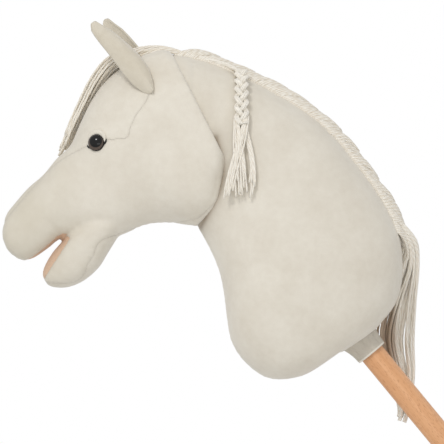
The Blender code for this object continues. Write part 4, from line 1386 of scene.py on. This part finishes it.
def lock_rows(path, count, across_axis):
    """Read a lock's path: its middle, its depth and its width at each place, in metres."""
    rows = smooth_rows(path, count)
    result = []
    for index, (x, y, z, half_depth, half_width) in enumerate(rows):
        before = Vector(rows[max(index - 1, 0)][:3])
        after = Vector(rows[min(index + 1, count - 1)][:3])
        along = (after - before).normalized()
        across = Vector(across_axis)
        depth = across.cross(along).normalized()
        across = along.cross(depth)
        shy = YARN_WIDTH / 2 / MM
        result.append((
            Vector((x, y, z)) * MM,
            depth * max(half_depth - shy, 0.4) * MM,
            across * max(half_width - shy, 0.4) * MM,
        ))
    return result


def lock_strands(rows, count, seed, shortest, wander):
    """Strands that keep their place across a lock, with a little wander, cut unevenly."""
    rng = random.Random(seed)
    strands = []
    for number in range(count):
        radius = math.sqrt((number + 0.5) / count)
        angle = number * GOLDEN_TURN
        a = radius * math.cos(angle)
        b = radius * math.sin(angle)
        wave = rng.uniform(0, math.tau)
        pace = rng.uniform(3.0, 5.0)
        last = int(len(rows) * rng.uniform(shortest, 1.0))
        strand = []
        for step, (middle, depth, across) in enumerate(rows[:max(last, 3)]):
            share = step / (len(rows) - 1)
            sway = wander * math.sin(wave + pace * share)
            twist = wander * math.cos(wave * 2 + pace * share)
            strand.append(middle + depth * (a + sway * 0.6) * 0.92 + across * (b + twist) * 0.92)
        strands.append(strand)
    return strands


# This copy of the yarn is painted a little darker: painted shade.
forelock_yarn = yarn_finish("forelock_yarn", 0.165, 0.02)
rows = lock_rows(FORELOCK_PATH, 38, (0, 1, 0))
strands = lock_strands(rows, 21, 5, 0.80, 0.38)
forelock = add_yarn("forelock_yarns", strands, forelock_yarn, None, "forelock")
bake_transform(forelock, "head", "forelock", start=(-0.250, 0.0, 0.378), end=(-0.286, 0.0, 0.383))

# Braid: yarn gathered from the crest to the near side, plaited down the neck in three
# bundles, and left loose below the last crossing as a tassel of crossing bunches.
BRAID_X = -191.0
BRAID_ROOT = Vector((-191.0, -13.5, 358.18))
BRAID_TOP = 352.5
BRAID_KNOT = 302.0
TASSEL_TOP = BRAID_KNOT + 8.0
TASSEL_LOW = 226.0
BRAID_HALF_WIDTH = 7.8
BRAID_HALF_DEPTH = 5.5
BRAID_PITCH = 34.0
PLAIT_SWAY = (0.64, 0.46)
BUNDLE_YARNS = 7
BUNDLE_REACH = (1.95, 1.7)
BUNDLE_LAY = 26.0
BRAID_YARN_WIDTH = 2.1 * MM
GATHER_FRONT = -232.0 * MM
GATHER_YARNS = 16
TASSEL_BUNCHES = (
    (5.0, (-16.5, -6.0), 8, 1.6, 0.0),
    (-5.0, (-4.0, 9.0), 8, 0.2, 0.0),
    (0.5, (9.5, 16.5), 6, -1.4, 4.0),
)


def beside_neck(z, half_depth):
    """Where something of that half depth hangs against the near side of the neck, in mm."""
    start = Vector((BRAID_X * MM, -0.3, z * MM))
    point, normal, index, distance = neck_skin.ray_cast(start, Vector((0, 1, 0)))
    spot = point / MM + normal * (half_depth + 1.0)
    return spot.y, spot.z


path = [(*BRAID_ROOT, BRAID_HALF_DEPTH, BRAID_HALF_WIDTH)]
for share in (0.2, 0.45, 0.7, 1.0):
    y, z = beside_neck(BRAID_TOP - (BRAID_TOP - BRAID_KNOT) * share, BRAID_HALF_DEPTH)
    path.append((BRAID_X, y, z, BRAID_HALF_DEPTH, BRAID_HALF_WIDTH))
rows = lock_rows(path, 60, (1, 0, 0))
strands = []
for bundle in range(3):
    for yarn in range(BUNDLE_YARNS):
        strand = []
        gone = 0.0
        for step, (middle, depth, across) in enumerate(rows):
            if step:
                gone += (middle - rows[step - 1][0]).length / MM
            phase = math.tau * (gone / BRAID_PITCH + bundle / 3)
            side = BRAID_HALF_WIDTH * PLAIT_SWAY[0] * math.sin(phase)
            rise = BRAID_HALF_DEPTH * PLAIT_SWAY[1] * math.sin(2 * phase)
            if yarn:
                lean = math.tau * yarn / (BUNDLE_YARNS - 1) + gone / BUNDLE_LAY
                side += BUNDLE_REACH[0] * math.cos(lean)
                rise += BUNDLE_REACH[1] * math.sin(lean)
            off = across.normalized() * side + depth.normalized() * rise
            strand.append(middle + off * MM)
        strands.append(strand)
# This copy of the yarn is painted much lighter: painted light.
braid_yarn = yarn_finish("braid_yarn", 0.075, -0.34)
add_yarn("braid_plait", strands, braid_yarn, "braid", "braid", width=BRAID_YARN_WIDTH)

gather_random = random.Random(23)
strands = []
for yarn in range(GATHER_YARNS):
    share = (yarn + 0.5) / GATHER_YARNS
    begin = GATHER_FRONT + (BRAID_X * MM - GATHER_FRONT) * share * 0.9
    aim = BRAID_ROOT * MM + Vector((4.5 * (share * 2 - 1), 0.8 * math.cos(yarn * 2.4), -4.0)) * MM
    strand = []
    for step in range(13):
        along = step / 12
        x = begin + (aim.x - begin) * math.sin(math.pi / 2 * along) ** 0.9
        top = min(crest, key=lambda spot: abs(spot.x - x))
        sink = max(0.0, along - 0.3) / 0.7
        spot = Vector((x, -6.0 * MM + (aim.y + 6.0 * MM) * sink, top.y + 4.0 * MM))
        spot.z += (aim.z - spot.z) * sink ** 2
        lift = -2.0
        if step:
            lift = 2.2 + 4.0 * along + 1.6 * (yarn % 2) + gather_random.uniform(-0.3, 0.3)
        spot = laid_on(sewn_skin, spot, lift * MM)
        strand.append(spot.lerp(aim, max(0.0, along - 0.75) / 0.25))
    strands.append(strand)
add_yarn("braid_gather", strands, braid_yarn, "head", width=BRAID_YARN_WIDTH)

tassel_random = random.Random(31)
strands = []
for start_side, (end_low, end_high), count, layer, bow in TASSEL_BUNCHES:
    for yarn in range(count):
        share = (yarn + 0.5) / count
        end_side = end_low + (end_high - end_low) * share
        begin_side = start_side + 2.6 * (share * 2 - 1)
        low = TASSEL_LOW + tassel_random.uniform(1.0, 20.0)
        sway = tassel_random.uniform(-1.3, 1.3)
        strand = []
        for step in range(16):
            along = step / 15
            z = TASSEL_TOP + (low - TASSEL_TOP) * along
            spread = along * along * (3 - 2 * along) * 0.5 + along * 0.5
            depth = BRAID_HALF_DEPTH * 0.55 + layer * (1 - 0.5 * along) + 0.4 + 4.0 * along
            y, z = beside_neck(z, depth + yarn % 2 * 1.2 * (1 - along))
            side = begin_side + (end_side - begin_side) * spread
            side += (bow + sway) * math.sin(math.pi * along)
            strand.append(Vector((BRAID_X - 2.5 * along + side, y, z)) * MM)
        strands.append(strand)
# This copy of the yarn is painted a little lighter: painted light.
tassel_yarn = yarn_finish("tassel_yarn", 0.080, -0.08)
add_yarn(
    "braid_tassel_yarns", strands, tassel_yarn, "braid", "braid_tassel", width=BRAID_YARN_WIDTH,
)

# Mane's end: the last strands of the mane, the same yarn gathered into one lock, hang free
# past the neck and behind the stick. The rows are its path, as the forelock's are.
MANE_END_PATH = (
    (-33, 0, 207, 3, 4),
    (-24, 4, 194, 5, 7),
    (-15, 12, 179, 8, 9),
    (-15, 24, 155, 9, 11),
    (-25, 33, 118, 9, 18),
    (-30, 36, 82, 9, 21),
    (-23, 36, 45, 8, 15),
    (-20, 35, 10, 7, 8),
    (-24, 34, -8, 5, 6),
)
# Its strands behind the neck's edge get painted shadow, and the lock is painted a little lighter.
mane_end_yarn = yarn_finish("mane_end_yarn", 0.200, -0.12, inner=(-0.026, 0.130))
rows = lock_rows(MANE_END_PATH, 36, (1, 0, 0))
strands = lock_strands(rows, 34, 8, 0.8, 0.24)
mane_end = add_yarn("mane_end_yarns", strands, mane_end_yarn, None, "mane_end")
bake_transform(mane_end, "head", "mane_end", start=(-0.030, 0.002, 0.203), end=(-0.016, 0.013, 0.176))
